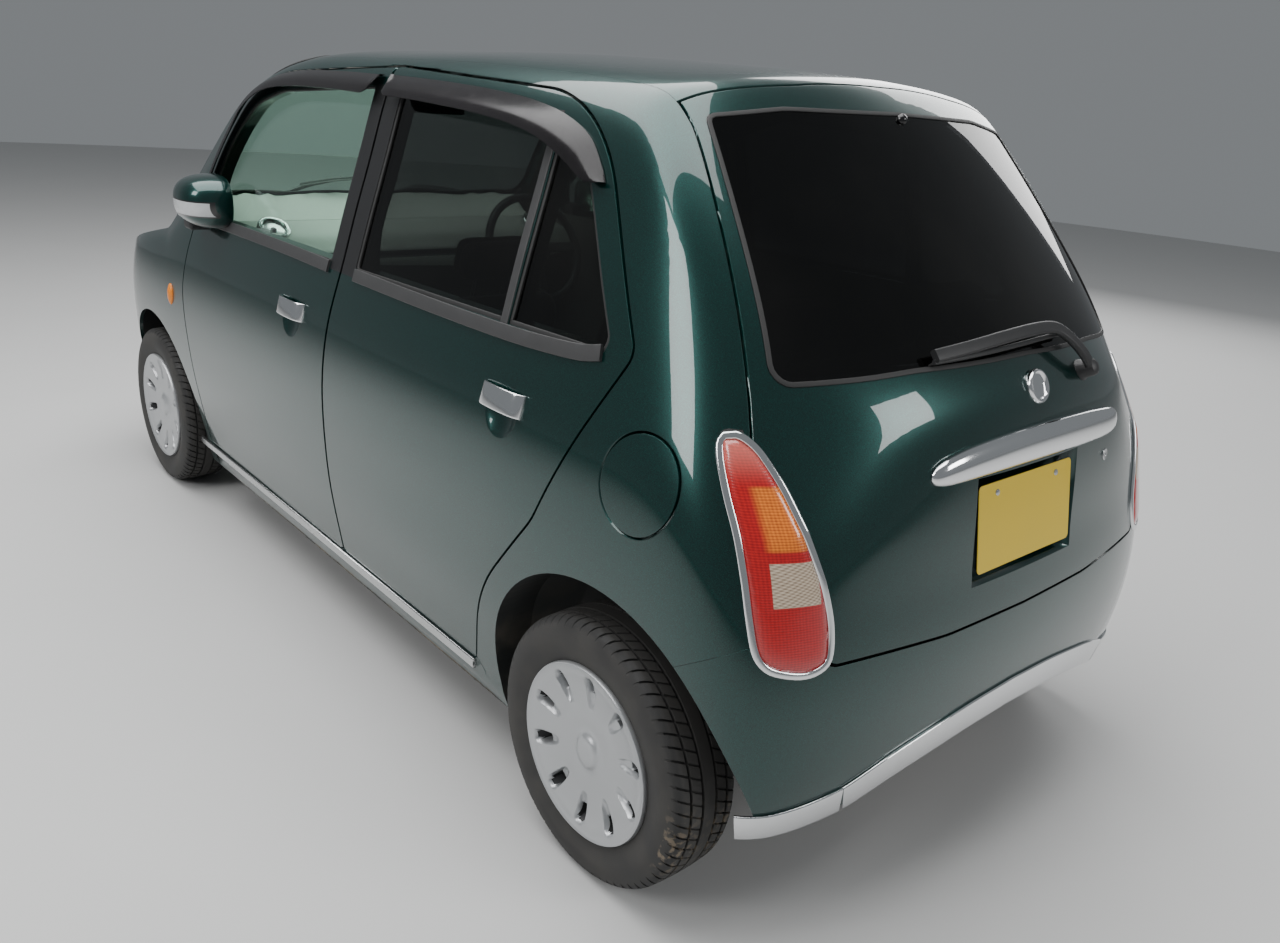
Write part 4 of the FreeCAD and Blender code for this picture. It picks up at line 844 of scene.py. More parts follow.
def coverMesh(name):
    # wheel cover as a height over rings: a raised rim, an oval cap and ten dished slots whose windows are
    # closed recesses in a near-black painted shade, standing for the shaded openings
    look = coverLook
    high = SmoothLine(look["profile"])
    radii = np.concatenate([np.linspace(0, 44, 16), np.linspace(49, 86, 7), np.linspace(89, 164, 34),
                            np.linspace(166, 178, 9)])
    turns = np.linspace(0, 2 * pi, 420, endpoint=False)[::-1]
    r, a = np.meshgrid(radii, turns, indexing="ij")
    # the cap is taller than wide
    stretched = np.where(r < 60, r * (1 + 0.16 * np.sin(a) ** 2 * np.clip((60 - r) / 60, 0, 1) * 2), r)
    y = high(stretched)
    pitch = 2 * pi / look["slots"]
    off = (a + pitch / 2) % pitch - pitch / 2
    along = (r - look["slotMiddle"]) / look["slotLong"]
    wide = look["slotWide"] * (0.80 + 0.22 * along)
    across = r * np.sin(off) / wide
    inside = 1 - (abs(across) ** 3.2 + abs(along) ** 3.2) ** (1 / 3.2)
    dip = np.clip(inside / 0.42, 0, 1)
    dip = dip * dip * (3 - 2 * dip)
    deep = look["dish"] * (0.42 + 0.58 * np.clip(along * 0.9 + 0.55, 0, 1))
    windowAcross = r * np.sin(off) / (look["slotWide"] * 0.56)
    windowAlong = (r - look["slotMiddle"] - 13) / 17.0
    window = 1 - (abs(windowAcross) ** 4 + abs(windowAlong) ** 4) ** 0.25
    y = y - dip * deep - np.clip(window / 0.12, 0, 1) * 12
    points = np.stack([r * np.sin(a), y, r * np.cos(a)], 2)
    edge = ring([(66, 178), (62, 176), (62, 168), (35.8, 150), (35.8, 0)], 420)[:, ::-1] / mm
    points = np.concatenate([points, edge], 0)
    # the windows take the second material: near-black painted shade in place of the dark openings through the
    # slots
    dark = (np.concatenate([window, np.full((5, 420), -1.0)], 0) > 0.06)[:-1]
    return outward(gridMesh(name, points * mm, closeColumns=True, materials=dark.astype(int)), 40)


def tyreFinish(name, axleX, mud):
    # rubber, greyed with dust on the sidewall, and dried mud on one shoulder where asked
    finish = Finish(name)
    x, z = finish.axis("X") - axleX * mm, finish.axis("Z") - axleZ * mm
    out = (x * x + z * z) ** 0.5
    dust = finish.noise(14.0, 5.0).ramp(0.30, 0.75)
    wall = out.within(0.172, 0.248, 0.008)
    tread = out.ramp(0.2600, 0.2648)
    tone = finish.mix(dust * wall * 0.55 + tread * 0.35, (0.020, 0.0195, 0.019), (0.070, 0.066, 0.060))
    rings = (out * 1900).wave() * 0.5 + 0.5
    if mud:
        facing = (0 - x * 0.94 - z * 0.02) / out
        low = (z * -1.0).ramp(-0.06, 0.09)
        patch = out.within(0.238, 0.263, 0.004) * facing.ramp(0.80, 0.97)
        patch = patch * finish.noise(70.0, 6.0).ramp(0.50, 0.62) * low
        tone = finish.mix(patch * 0.85, tone, (0.27, 0.21, 0.14))
    finish.feed(Base_Color=tone, Roughness=0.62 + dust * 0.2)
    return finish.bump(rings * wall * 0.4 + finish.noise(700.0, 2.0) * 0.5, 0.3, 0.0006)


# near-black painted shade for the cover's slot windows, which are closed recesses and not openings
paintedSlotShade = mottled("painted slot shade", (0.006, 0.006, 0.006), 0.8)
rimSteel = mottled("rim steel", (0.05, 0.05, 0.052), 0.5, 0.5)
# section of the wheel inside its cover: rows of place across, radius
barrelRows = [(-68, 158), (-68, 172.5), (-63, 173), (-60, 166), (-52, 160), (-20, 152), (20, 152), (52, 160),
              (60, 166), (63, 173), (66, 173), (66, 158), (34, 146), (30, 44), (24, 44), (24, 18), (-18, 18),
              (-18, 44), (17, 44), (20, 140), (0, 148), (-50, 154)]
for end, axleX in (("front", frontAxleX), ("rear", rearAxleX)):
    for side, sign in sides:
        body = f"{end}_{side}_road_wheel"
        place = Matrix.Translation((axleX * mm, sign * trackHalf * mm, axleZ * mm))
        if sign < 0:
            place = place @ Matrix.Rotation(pi, 4, "Z")
        tyre = tyreMesh(f"{end}_{side}_tyre_tread")
        cover = coverMesh(f"{end}_{side}_cover")
        turnedRim = ring(barrelRows, 96)
        barrel = outward(gridMesh(f"{end}_{side}_rim", turnedRim, closeRows=True, closeColumns=True))
        for mesh in (tyre, cover, barrel):
            mesh.transform(place)
        rubber = tyreFinish(f"{end} {side} tyre rubber", axleX, (end, side) == ("rear", "left"))
        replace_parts(addPiece(tyre.name, tyre, body, "rubber", rubber), f"{end}_{side}_tyre")
        addPiece(cover.name, cover, body, "silver", silver, paintedSlotShade)
        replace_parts(addPiece(barrel.name, barrel, body, "steel", rimSteel), f"{end}_{side}_wheel")
print("wheels made")


# Window rubbers, belt mouldings and visors


def sided(mesh, sign):
    # a mesh made for the left side, turned over where it is for the right side
    if sign < 0:
        mesh.transform(Matrix.Scale(-1, 4, (0, 1, 0)))
        mesh.flip_normals()
    return mesh


def closedEnds(mesh):
    # the same mesh with its open edges filled
    shape = bmesh.new()
    shape.from_mesh(mesh)
    bmesh.ops.holes_fill(shape, edges=[e for e in shape.edges if e.is_boundary], sides=0)
    shape.to_mesh(mesh)
    shape.free()
    return mesh


def plateBlock(name, xs, ys, zs, corner):
    # box with rounded edges, sizes in millimetres
    shape = bmesh.new()
    bmesh.ops.create_cube(shape, size=1.0)
    for vert in shape.verts:
        vert.co = [(lo + hi) / 2 * mm + c * (hi - lo) * mm for c, (lo, hi) in zip(vert.co, (xs, ys, zs))]
    bmesh.ops.bevel(shape, geom=shape.edges[:], offset=corner * mm, segments=4, affect="EDGES", profile=0.5)
    for face in shape.faces:
        face.smooth = True
    return meshOf(name, shape)


# window rubbers: width and height
rubberLook = {"door": (13.0, 7.0), "screen": (15.0, 3.4), "tailgate": (9.0, 3.0)}
for side, sign in sides:
    for end in ("front", "rear"):
        body = f"{end}_{side}_door_set"
        for i, line in enumerate(borderLoops(f"{end}_{side}_glass", 7.0)):
            moved, outs = inset(line, 1.0, 1.5)
            strip(f"{end}_{side}_window_rubber_{i + 1}", body, "rubber", rubberSeal, moved,
                  *rubberLook["door"], closed=True, outs=outs)
for name, node, body, size in (("windscreen_rubber", "windscreen", "body", "screen"),
                               ("backlight_rubber", "tailgate_glass", "tailgate_set", "tailgate")):
    for line in borderLoops(node, 0.0)[:1]:
        moved, outs = inset(line, 4.0, 0.4)
        strip(name, body, "rubber", rubberSeal, moved, *rubberLook[size], closed=True, outs=outs)

# belt mouldings, the divider of the rear windows, and visors: rows of x, z
beltLook = {"front": [(-136, 970), (100, 971), (400, 968), (660, 963), (716, 961)],
            "rear": [(-1168, 1006), (-1100, 993), (-900, 981), (-600, 975), (-270, 973)],
            "wide": 30.0, "high": 6.5}
dividerLook = {"line": [(-877, 981), (-868, 1200), (-866, 1385)], "size": (24.0, 8.0, 2.5)}
visorLook = {"front": [(724, 1062), (690, 1155), (645, 1235), (585, 1305), (500, 1355), (400, 1385),
                       (250, 1402), (60, 1409), (-120, 1411), (-170, 1411)],
             "rear": [(-222, 1413), (-320, 1413), (-480, 1411), (-640, 1406), (-780, 1396), (-890, 1378),
                      (-975, 1348), (-1030, 1303), (-1052, 1276)],
             "drop": 64.0, "stand": 21.0, "thick": 2.6, "taper": {"front": (10.0, 2.4), "rear": (2.4, 11.0)}}


def visorMesh(name, rows, sign, taper):
    # a smoked hood that stands off along the top of a window, blunt at the pillar and thin at its far end
    look = visorLook
    line = evenly(sideLine([(x, z, 0.5) for x, z in smoothPath(rows, 6)]), 14.0)
    outs = outsOf(line)
    count = len(line)
    layers = []
    for lift in (0.0, look["thick"]):
        for k in range(9) if not lift else range(8, -1, -1):
            t = k / 8
            row = []
            for i, (p, o) in enumerate(zip(line, outs)):
                along = (line[min(i + 1, count - 1)] - line[max(i - 1, 0)]).normalized()
                down = o.cross(along) if o.cross(along).z < 0 else -o.cross(along)
                ends = min(1.0, i / taper[0], (count - 1 - i) / taper[1])
                ends = sqrt(max(0.0, 1 - (1 - ends) ** 2))
                ends = ends * 0.85 + 0.15
                stand = look["stand"] * sin(min(1.0, t * 1.25) * pi / 2) * (0.55 + 0.45 * ends)
                row.append(p + down * look["drop"] * t * ends * mm + o * (stand + lift + 1.0) * mm)
            layers.append(row)
    points = np.array([[tuple(p) for p in row] for row in layers])
    points[:, :, 1] *= sign
    return outward(closedEnds(gridMesh(name, points, closeRows=True)), 40)


for side, sign in sides:
    for end in ("front", "rear"):
        body = f"{end}_{side}_door_set"
        line = evenly(sideLine([(x, z, 3.2) for x, z in smoothPath(beltLook[end], 6)]), 25.0)
        strip(f"{end}_{side}_belt_moulding", body, "trim_grey", beltGrey, onSide(sign, line),
              beltLook["wide"], beltLook["high"], 2.0)
        hood = visorMesh(f"{end}_{side}_visor", visorLook[end], sign, visorLook["taper"][end])
        addPiece(hood.name, hood, body, "dark_glass", smokedVisor)
    line = evenly(sideLine([(x, z, -2.0) for x, z in smoothPath(dividerLook["line"], 6)]), 25.0)
    strip(f"rear_{side}_window_divider", f"rear_{side}_door_set", "trim_grey", beltGrey, onSide(sign, line),
          *dividerLook["size"])
print("window trims and visors made")


# Door handles and mirrors

# pull handles: rows of (place along the car, stand off the door)
handleLook = {"bow": [(-64, -1.0), (-62, 4.0), (-57, 10.0), (-48, 15.0), (-32, 18.0), (0, 19.5), (32, 18.0),
                      (48, 15.0), (57, 10.0), (62, 4.0), (64, -1.0)],
              "wide": 46.0, "high": 8.0, "rise": 9.0, "front": (3, 832), "rear": (-943, 857)}
# mirror folded back along the window: superellipse of the cover seen from the side, domed outward
mirrorLook = {"back": 474, "front": 683, "low": 955, "top": 1104, "inner": 680, "deep": 119, "square": 2.7,
              "steps": 64, "rows": 14}


def coverShape(name):
    look = mirrorLook
    cx, cz = (look["back"] + look["front"]) / 2, (look["low"] + look["top"]) / 2
    hx, hz = (look["front"] - look["back"]) / 2, (look["top"] - look["low"]) / 2
    turns = np.linspace(0, 2 * pi, look["steps"], endpoint=False)
    power = 2 / look["square"]
    across = np.sign(np.cos(turns)) * abs(np.cos(turns)) ** power
    along = np.sign(np.sin(turns)) * abs(np.sin(turns)) ** power
    rows, materials = [], []
    # share of the outline, place out from the car, material: painted cover, glass, black lip
    profile = []
    for k in range(look["rows"] + 1):
        a = pi / 2 * k / look["rows"]
        profile.append((sin(a) ** 0.78, look["inner"] + look["deep"] * cos(a) ** 0.74, 0))
    profile += [(0.985, look["inner"] - 2, 0), (0.955, look["inner"] - 2.5, 2), (0.935, look["inner"] + 1, 2),
                (0.925, look["inner"] + 3, 1), (0.0, look["inner"] + 3, 1)]
    for scale, y, material in profile:
        level = np.full(look["steps"], float(y))
        rows.append(np.stack([cx + hx * scale * across, level, cz + hz * scale * along], 1))
        materials.append([material] * look["steps"])
    mesh = gridMesh(name, np.array(rows) * mm, closeColumns=True, materials=np.array(materials))
    return outward(mesh, 45)


for side, sign in sides:
    for end in ("front", "rear"):
        x, z = handleLook[end]
        bow = smoothPath(handleLook["bow"], 4)
        line = sideLine([(x + along, z + handleLook["rise"], stand) for along, stand in bow])
        body = f"{end}_{side}_door_set"
        grip = strip(f"{end}_{side}_pull_handle", body, "bright", chrome, onSide(sign, line),
                     handleLook["wide"], handleLook["high"], 3.2)
        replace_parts(grip, f"{end}_{side}_handle")
    body = f"front_{side}_door_set"
    cover = coverShape(f"{side}_mirror_cover")
    foot = outward(plateBlock(f"{side}_mirror_foot", (636, 694), (640, 748), (938, 1000), 9.0), 40)
    housing = addPiece(f"{side}_mirror_cover", sided(cover, sign), body, "paint", mirrorPaint, mirrorFace,
                       blackPlastic)
    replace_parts(housing, f"{side}_mirror")
    addPiece(f"{side}_mirror_foot", sided(foot, sign), body, "black", blackPlastic)
print("handles and mirrors made")


# Patches laid on the body


def patchMesh(name, outline, place, spacing, lift, depth, dome=0.0, domeReach=12.0):
    # a closed pad over an outline of (u, v): place(u, v, out) sets each point, its face bulges by the dome
    outline = [tuple(p) for p in outline]
    us, vs = zip(*outline)
    rim = [Vector(p) for p in outline]
    count = len(rim)
    inner = []
    u = min(us) + spacing / 2
    while u < max(us):
        v = min(vs) + spacing / 2
        while v < max(vs):
            near, inside = 1e9, False
            for i in range(count):
                a, b = rim[i], rim[(i + 1) % count]
                share = (Vector((u, v)) - a).dot(b - a) / max(1e-9, (b - a).length_squared)
                share = max(0.0, min(1.0, share))
                near = min(near, (a + (b - a) * share - Vector((u, v))).length)
                if (a.y > v) != (b.y > v) and u < a.x + (v - a.y) / (b.y - a.y) * (b.x - a.x):
                    inside = not inside
            if inside and near > spacing * 0.35:
                inner.append((u, v, near))
            v += spacing
        u += spacing
    flat = [Vector((a, b)) for a, b in outline] + [Vector((a, b)) for a, b, _ in inner]
    near = [0.0] * count + [n for _, _, n in inner]
    points, _, faces, *_ = delaunay_2d_cdt(flat, [], [list(range(count))], 1, 1e-5)
    reach = dict(((round(p.x, 3), round(p.y, 3)), n) for p, n in zip(flat, near))
    bulge = [dome * sqrt(1 - (1 - min(1.0, reach.get((round(p.x, 3), round(p.y, 3)), 0.0) / domeReach)) ** 2)
             for p in points]
    us, vs = np.array([tuple(p) for p in points]).T
    upper = place(us, vs, lift + np.array(bulge))
    lower = place(us, vs, np.full(len(us), lift - depth))
    shape = bmesh.new()
    verts = [shape.verts.new(p) for p in upper]
    for face in faces:
        shape.faces.new([verts[i] for i in face])
    edge = [e for e in shape.edges if e.is_boundary]
    skirt = bmesh.ops.extrude_edge_only(shape, edges=edge)["geom"]
    lowered = [g for g in skirt if isinstance(g, bmesh.types.BMVert)]
    spots = {tuple(round(c, 6) for c in v.co): p for v, p in zip(verts, lower)}
    for vert in lowered:
        vert.co = spots[tuple(round(c, 6) for c in vert.co)]
    bmesh.ops.holes_fill(shape, edges=[e for e in shape.edges if e.is_boundary], sides=0)
    bmesh.ops.triangulate(shape, faces=[f for f in shape.faces if len(f.verts) > 4])
    for face in shape.faces:
        face.smooth = True
    return outward(meshOf(name, shape), 40)


# tail lamps: rows of x, y, z of the lens edge, and the upright line inside the corner they are seen from
lampLook = {"centre": (-1440.0, 520.0), "arc": 200.0, "reach": 420.0, "spacing": 7.0,
            "lens": [(-1448, 641, 925), (-1483, 654, 865), (-1520, 658, 804), (-1548, 659, 740),
                     (-1570, 658, 673), (-1587, 654, 622), (-1600, 643, 600), (-1613, 626, 590),
                     (-1629, 587, 582), (-1636, 556, 587), (-1637, 540, 604), (-1626, 536, 656),
                     (-1611, 545, 711), (-1597, 557, 754), (-1572, 573, 811), (-1534, 585, 864),
                     (-1496, 600, 908), (-1467, 619, 933), (-1454, 631, 934)],
            "rim": 13.0, "rimHigh": 9.0}


def lampPlace(angle, z, out):
    # the skin's points in a direction about the lamp's upright line, the angle as an arc's length in mm
    turn, z = np.asarray(angle, float) / lampLook["arc"], np.asarray(z, float)
    cx, cy = lampLook["centre"]
    inner = np.stack([0 * turn + cx, 0 * turn + cy, z], 1)
    outer = np.stack([cx + lampLook["reach"] * np.cos(turn), cy + lampLook["reach"] * np.sin(turn), z], 1)
    return skinHit(inner, outer, out)


def lampOutline(grow):
    cx, cy = lampLook["centre"]
    rows = [(atan2(y - cy, x - cx) * lampLook["arc"], z) for x, y, z in lampLook["lens"]]
    fine = smoothPath(rows, 5, closed=True)
    grown = []
    for i, p in enumerate(fine):
        way = fine[(i + 1) % len(fine)] - fine[i - 1]
        side = np.array([way[1], -way[0]]) / max(1e-9, hypot(*way))
        grown.append(tuple(p + side * grow))
    return grown


redLens = Finish("tail lamp lens", Coat_Weight=1.0, Coat_Roughness=0.02, Emission_Strength=0.10)
x, y, z = (redLens.axis(name) for name in "XYZ")
across = abs(y)
fineRibs = (z * 1500).wave() * 0.5 + 0.5
uprights = (across * 1100).wave() * 0.5 + 0.5
cells = redLens.noise(150.0, 3.0)
amber = z.within(0.783, 0.868, 0.006) * across.ramp(0.640, 0.622)
upper = z.ramp(0.868, 0.925)
patch = across.within(0.553, 0.632, 0.0015) * z.within(0.694, 0.762, 0.0015)
meshLines = ((z * 1100).wave() * ((x - across) * 800).wave()) * 0.5 + 0.5
glow = fineRibs * 0.5 + uprights * 0.3 + cells * 0.5
red = redLens.mix(glow * 0.55, (0.20, 0.002, 0.003), (0.72, 0.012, 0.012))
orange = redLens.mix(glow * 0.8, (0.26, 0.030, 0.004), (0.95, 0.26, 0.02))
silverPatch = redLens.mix(meshLines * 0.7 + cells * 0.3, (0.16, 0.10, 0.06), (0.72, 0.60, 0.46))
tone = redLens.mix(amber, red, orange)
tone = redLens.mix(upper * 0.35, tone, (0.80, 0.30, 0.24))
tone = redLens.mix(patch, tone, silverPatch)
redLens.feed(Base_Color=tone, Emission_Color=tone, Roughness=0.20 + cells * 0.1)
redLens.bump(fineRibs * 0.25 + uprights * patch * 0.6 + cells * 0.25, 0.35, 0.0012)

for side, sign in sides:
    lens = patchMesh(f"{side}_tail_lamp_lens", lampOutline(0.0), lampPlace, lampLook["spacing"], 0.5, 16.0,
                     7.0, 26.0)
    addPiece(lens.name, sided(lens, sign), "body", "lamp_red", redLens)
    angles, heights = zip(*lampOutline(4.6))
    line = evenly(asLine(lampPlace(angles, heights, 1.5)), 9.0)
    wide = []
    for p in line:
        # the bright rim is broad on the body's side and at the foot, and thin beside the tailgate
        broad = min(1.0, max(0.0, (p.y * 1000 - 640) / 16)) + min(1.0, max(0.0, (604 - p.z * 1000) / 16))
        wide.append(0.62 + 0.55 * min(1.0, broad))
    strip(f"{side}_tail_lamp_rim", "body", "bright", chrome, onSide(sign, line), lampLook["rim"],
          lampLook["rimHigh"], 3.5, closed=True, thin=wide)
smoothCopy("tail_lamp_bodies", "body", "lamp_red", ["tail_lamps"], [lampBlack])

# bright bar over the plate: rows of y, middle height, half height and stand
garnishLook = {"rows": [(306, 862, 5, 3), (300, 863, 13, 9), (288, 865, 19, 14), (262, 869, 25, 18),
                        (200, 876, 30, 21), (100, 882, 33, 22), (0, 884, 34, 22), (-100, 883, 34, 22),
                        (-200, 879, 33, 21), (-280, 874, 30, 19), (-330, 871, 26, 16), (-352, 870, 19, 12),
                        (-362, 870, 8, 5)]}
fine = smoothPath(garnishLook["rows"], 5)
section = []
for y, z, half, stand in fine:
    row = []
    for k in range(25):
        turn = pi * k / 24
        rise = sin(turn) ** 0.75
        row.append((y, z + half * cos(turn), 0.6 + stand * rise))
    section.append([tuple(p) for p in tailLine(row)])
bar = outward(closedEnds(gridMesh("bright_bar", np.array(section), closeColumns=True)), 50)
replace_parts(addPiece("bright_bar", bar, "tailgate_set", "bright", chrome), "garnish")


def rodMesh(name, rows, steps=24):
    # turned shape about Z at the origin, from rows of (radius, z) in millimetres, closed at both ends
    turns = np.linspace(0, 2 * pi, steps, endpoint=False)
    rs, zs = (column[:, None] for column in np.array(rows, float).T)
    points = np.stack([rs * np.cos(turns), rs * np.sin(turns), np.repeat(zs, steps, 1)], 2)
    return outward(gridMesh(name, points * mm, closeColumns=True), 35)


def standOn(mesh, spot, way):
    # moves a turned shape so that its axis leaves the body at a place
    mesh.transform(Matrix.Translation(spot) @ way.to_track_quat("Z", "Y").to_matrix().to_4x4())
    return mesh


def spotOf(line):
    # the first point of a line on the skin and the direction in which the skin faces there
    return line[0], outsOf(line)[0]


def turnedPiece(name, rows, steps, spot, way, body, slot, finish):
    return addPiece(name, standOn(rodMesh(name, rows, steps), spot, way), body, slot, finish)


badgeRows = [(0, 2.0), (19, 2.4), (23, 3.0), (24.5, 6.5), (27, 8.2), (30, 7.6), (32, 5.2), (32.5, 0),
             (32.5, -3), (0, -3)]
turnedPiece("round_badge", badgeRows, 64, *spotOf(tailLine([(0, 984)])), "tailgate_set", "bright", chrome)
keyRows = [(0, 1.6), (4.2, 1.6), (4.6, 2.6), (11, 3.2), (12.5, 1.8), (12.5, -3), (0, -3)]
turnedPiece("tailgate_key_barrel", keyRows, 32, *spotOf(tailLine([(-320, 801)])), "tailgate_set", "silver",
            brightStrip)

# number plate with rounded corners, its frame, and two screws
plateLook = {"tilt": 11.0, "x": -1651.5, "z": 742.0, "screwY": 105.0, "screwZ": 62.0}
# its blank, holder and stay: how far in, length, height, corner, thickness, rounding, slot, finish
plateRows = {"number_plate_blank": (0.0, 330.0, 165.0, 10.0, 1.6, 0.6, "plate", plateYellow),
             "plate_holder": (2.2, 320.0, 155.0, 8.0, 7.0, 1.5, "black", blackPlastic),
             "plate_stay": (8.0, 90.0, 44.0, 6.0, 22.0, 1.0, "black", blackPlastic)}


def plateShape(name, long, tall, corner, thick, fade):
    outline = []
    for cx, cy, start in ((1, 1, 0), (-1, 1, 90), (-1, -1, 180), (1, -1, 270)):
        for k in range(7):
            turn = radians(start + 15 * k)
            outline.append((cx * (long / 2 - corner) + corner * cos(turn),
                            cy * (tall / 2 - corner) + corner * sin(turn)))
    layers = [[(0, 0, 0) for _ in outline]]
    for shrink, level in ((3 * fade, 0), (fade, 0), (0, -fade), (0, -thick), (3 * fade, -thick)):
        layers.append([(u * (1 - 2 * shrink / long), v * (1 - 2 * shrink / tall), level) for u, v in outline])
    layers.append([(0, 0, -thick) for _ in outline])
    mesh = gridMesh(name, np.array(layers, float) * mm, closeColumns=True)
    turn = Matrix(((0, 0, -1, 0), (-1, 0, 0, 0), (0, 1, 0, 0), (0, 0, 0, 1)))
    mesh.transform(turn)
    return outward(mesh, 40)


lean = Matrix.Rotation(radians(plateLook["tilt"]), 4, "Y")
atPlate = Matrix.Translation((plateLook["x"] * mm, 0, plateLook["z"] * mm)) @ lean
for name, (deep, long, tall, corner, thick, fade, slot, finish) in plateRows.items():
    plate = plateShape(name, long, tall, corner, thick, fade)
    plate.transform(atPlate @ Matrix.Translation((deep * mm, 0, 0)))
    piece = addPiece(name, plate, "tailgate_set", slot, finish)
    if slot == "plate":
        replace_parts(piece, "number_plate")
screwRows = [(0, 2.2), (3.2, 2.6), (5.6, 1.8), (6.4, 0.6), (6.4, -2), (0, -2)]
for side, sign in sides:
    screw = rodMesh(f"{side}_plate_screw", screwRows, 20)
    away = Matrix.Rotation(-pi / 2, 4, "Y")
    place = Matrix.Translation((-0.2 * mm, sign * plateLook["screwY"] * mm, plateLook["screwZ"] * mm))
    screw.transform(atPlate @ place @ away)
    addPiece(screw.name, screw, "tailgate_set", "silver", brightStrip)

# bright strips along the foot of the rear bumper, in three lengths: rows of y, height
footLook = {"rows": [(0, 379), (160, 370), (338, 341), (452, 303), (459, 301)], "wide": 62.0, "high": 7.0,
            "turns": (194.6, 139.0), "drop": [(0.0, 299), (0.35, 285), (0.7, 273), (1.0, 267)]}
line = tailLine([(y, z, 2.0) for y, z in smoothPath(footLook["rows"], 6)])
line = evenly(onSide(-1, line[:0:-1]) + line, 18.0)
strip("rear_foot_strip", "body", "bright", chrome, line, footLook["wide"], footLook["high"], 3.0)
share = np.linspace(0, 1, 30)
turns = np.radians(footLook["turns"][0] + (footLook["turns"][1] - footLook["turns"][0]) * share)
drop = np.interp(share, *zip(*footLook["drop"]))
corner = evenly(asLine(lampPlace(turns * lampLook["arc"], drop, 2.0)), 14.0)
thin = [min(1.0, 0.45 + 0.12 * (len(corner) - 1 - i)) for i in range(len(corner))]
for side, sign in sides:
    strip(f"{side}_rear_foot_strip", "body", "bright", chrome, onSide(sign, corner), footLook["wide"],
          footLook["high"], 3.0, thin=thin)

# rear wiper: arm, blade and pivot cap; washer nozzle at the roof's end
wiperLook = {"arm": [(-188, 989, 20), (-170, 1003, 27), (-150, 1020, 31), (-120, 1043, 32), (-87, 1058, 30),
                     (-20, 1062, 27), (80, 1058, 24), (180, 1050, 21), (262, 1043, 18)],
             "blade": [(-150, 1050, 12), (-60, 1050, 13), (60, 1046, 13), (180, 1040, 13), (266, 1036, 12)]}
arm = evenly(tailLine(smoothPath(wiperLook["arm"], 5)), 10.0)
thin = list(np.interp(np.linspace(0, 1, len(arm)), [0, 0.1, 0.3, 0.6, 1], [1.15, 1.25, 1.05, 0.85, 0.45]))
strip("rear_wiper_arm", "tailgate_set", "black", blackPlastic, arm, 24.0, 13.0, 4.0, thin=thin)
blade = evenly(tailLine(smoothPath(wiperLook["blade"], 5)), 12.0)
strip("rear_wiper_holder", "tailgate_set", "black", blackPlastic, lifted(blade, 2.0), 9.0, 7.0, 2.0,
      outs=outsOf(blade))
strip("rear_wiper_blade", "tailgate_set", "rubber", rubberSeal, lifted(blade, -6.5), 3.0, 12.0, 1.0,
      outs=outsOf(blade))
pivotRows = [(0, 34), (9, 33.5), (15, 30), (17, 24), (18, 8), (21, 4), (22, -3), (0, -3)]
pivot = turnedPiece("rear_wiper_pivot", pivotRows, 40, *spotOf(tailLine([(-188, 989)])), "tailgate_set",
                    "black", blackPlastic)
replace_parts(pivot, "rear_wiper")
nozzleRows = [(0, 11), (5, 10.2), (9, 7), (11.5, 2), (12, -3), (0, -3)]
turnedPiece("rear_washer_nozzle", nozzleRows, 32, *spotOf(topLine([(-1226, 0)])), "tailgate_set", "black",
            blackGloss)
print("rear pieces made")


# Head lamps, grille, front wipers and sill strips

headLook = {"y": 478.0, "z": 668.0, "lens": 87.0, "rim": 90.0, "bowl": 83.0, "back": 1502.0}
fogLook = {"y": 525.0, "z": 318.0}


def nosePlace(ys, zs, out):
    ys, zs = np.asarray(ys, float), np.asarray(zs, float)
    return skinHit(np.stack([0 * ys + 600, ys, zs], 1), np.stack([0 * ys + 1800, ys, zs], 1), out)


def circleAt(y, z, radius, steps):
    turns = np.linspace(0, 2 * pi, steps, endpoint=False)
    return y + radius * np.cos(turns), z + radius * np.sin(turns)


reflector = Finish("lamp reflector", Metallic=1.0)
flutes = ((reflector.axis("Y") * 900).wave() * 0.5 + 0.5) * 0.6 + reflector.noise(30.0, 2.0) * 0.4
tone = reflector.mix(flutes, (0.62, 0.63, 0.64), (0.88, 0.89, 0.90))
reflector.feed(Base_Color=tone, Roughness=flutes * 0.08 + 0.10)
reflector.bump(flutes, 0.3, 0.001)
amberLens = mottled("amber bulb", (0.75, 0.22, 0.02), 0.2, fleck=0.1)
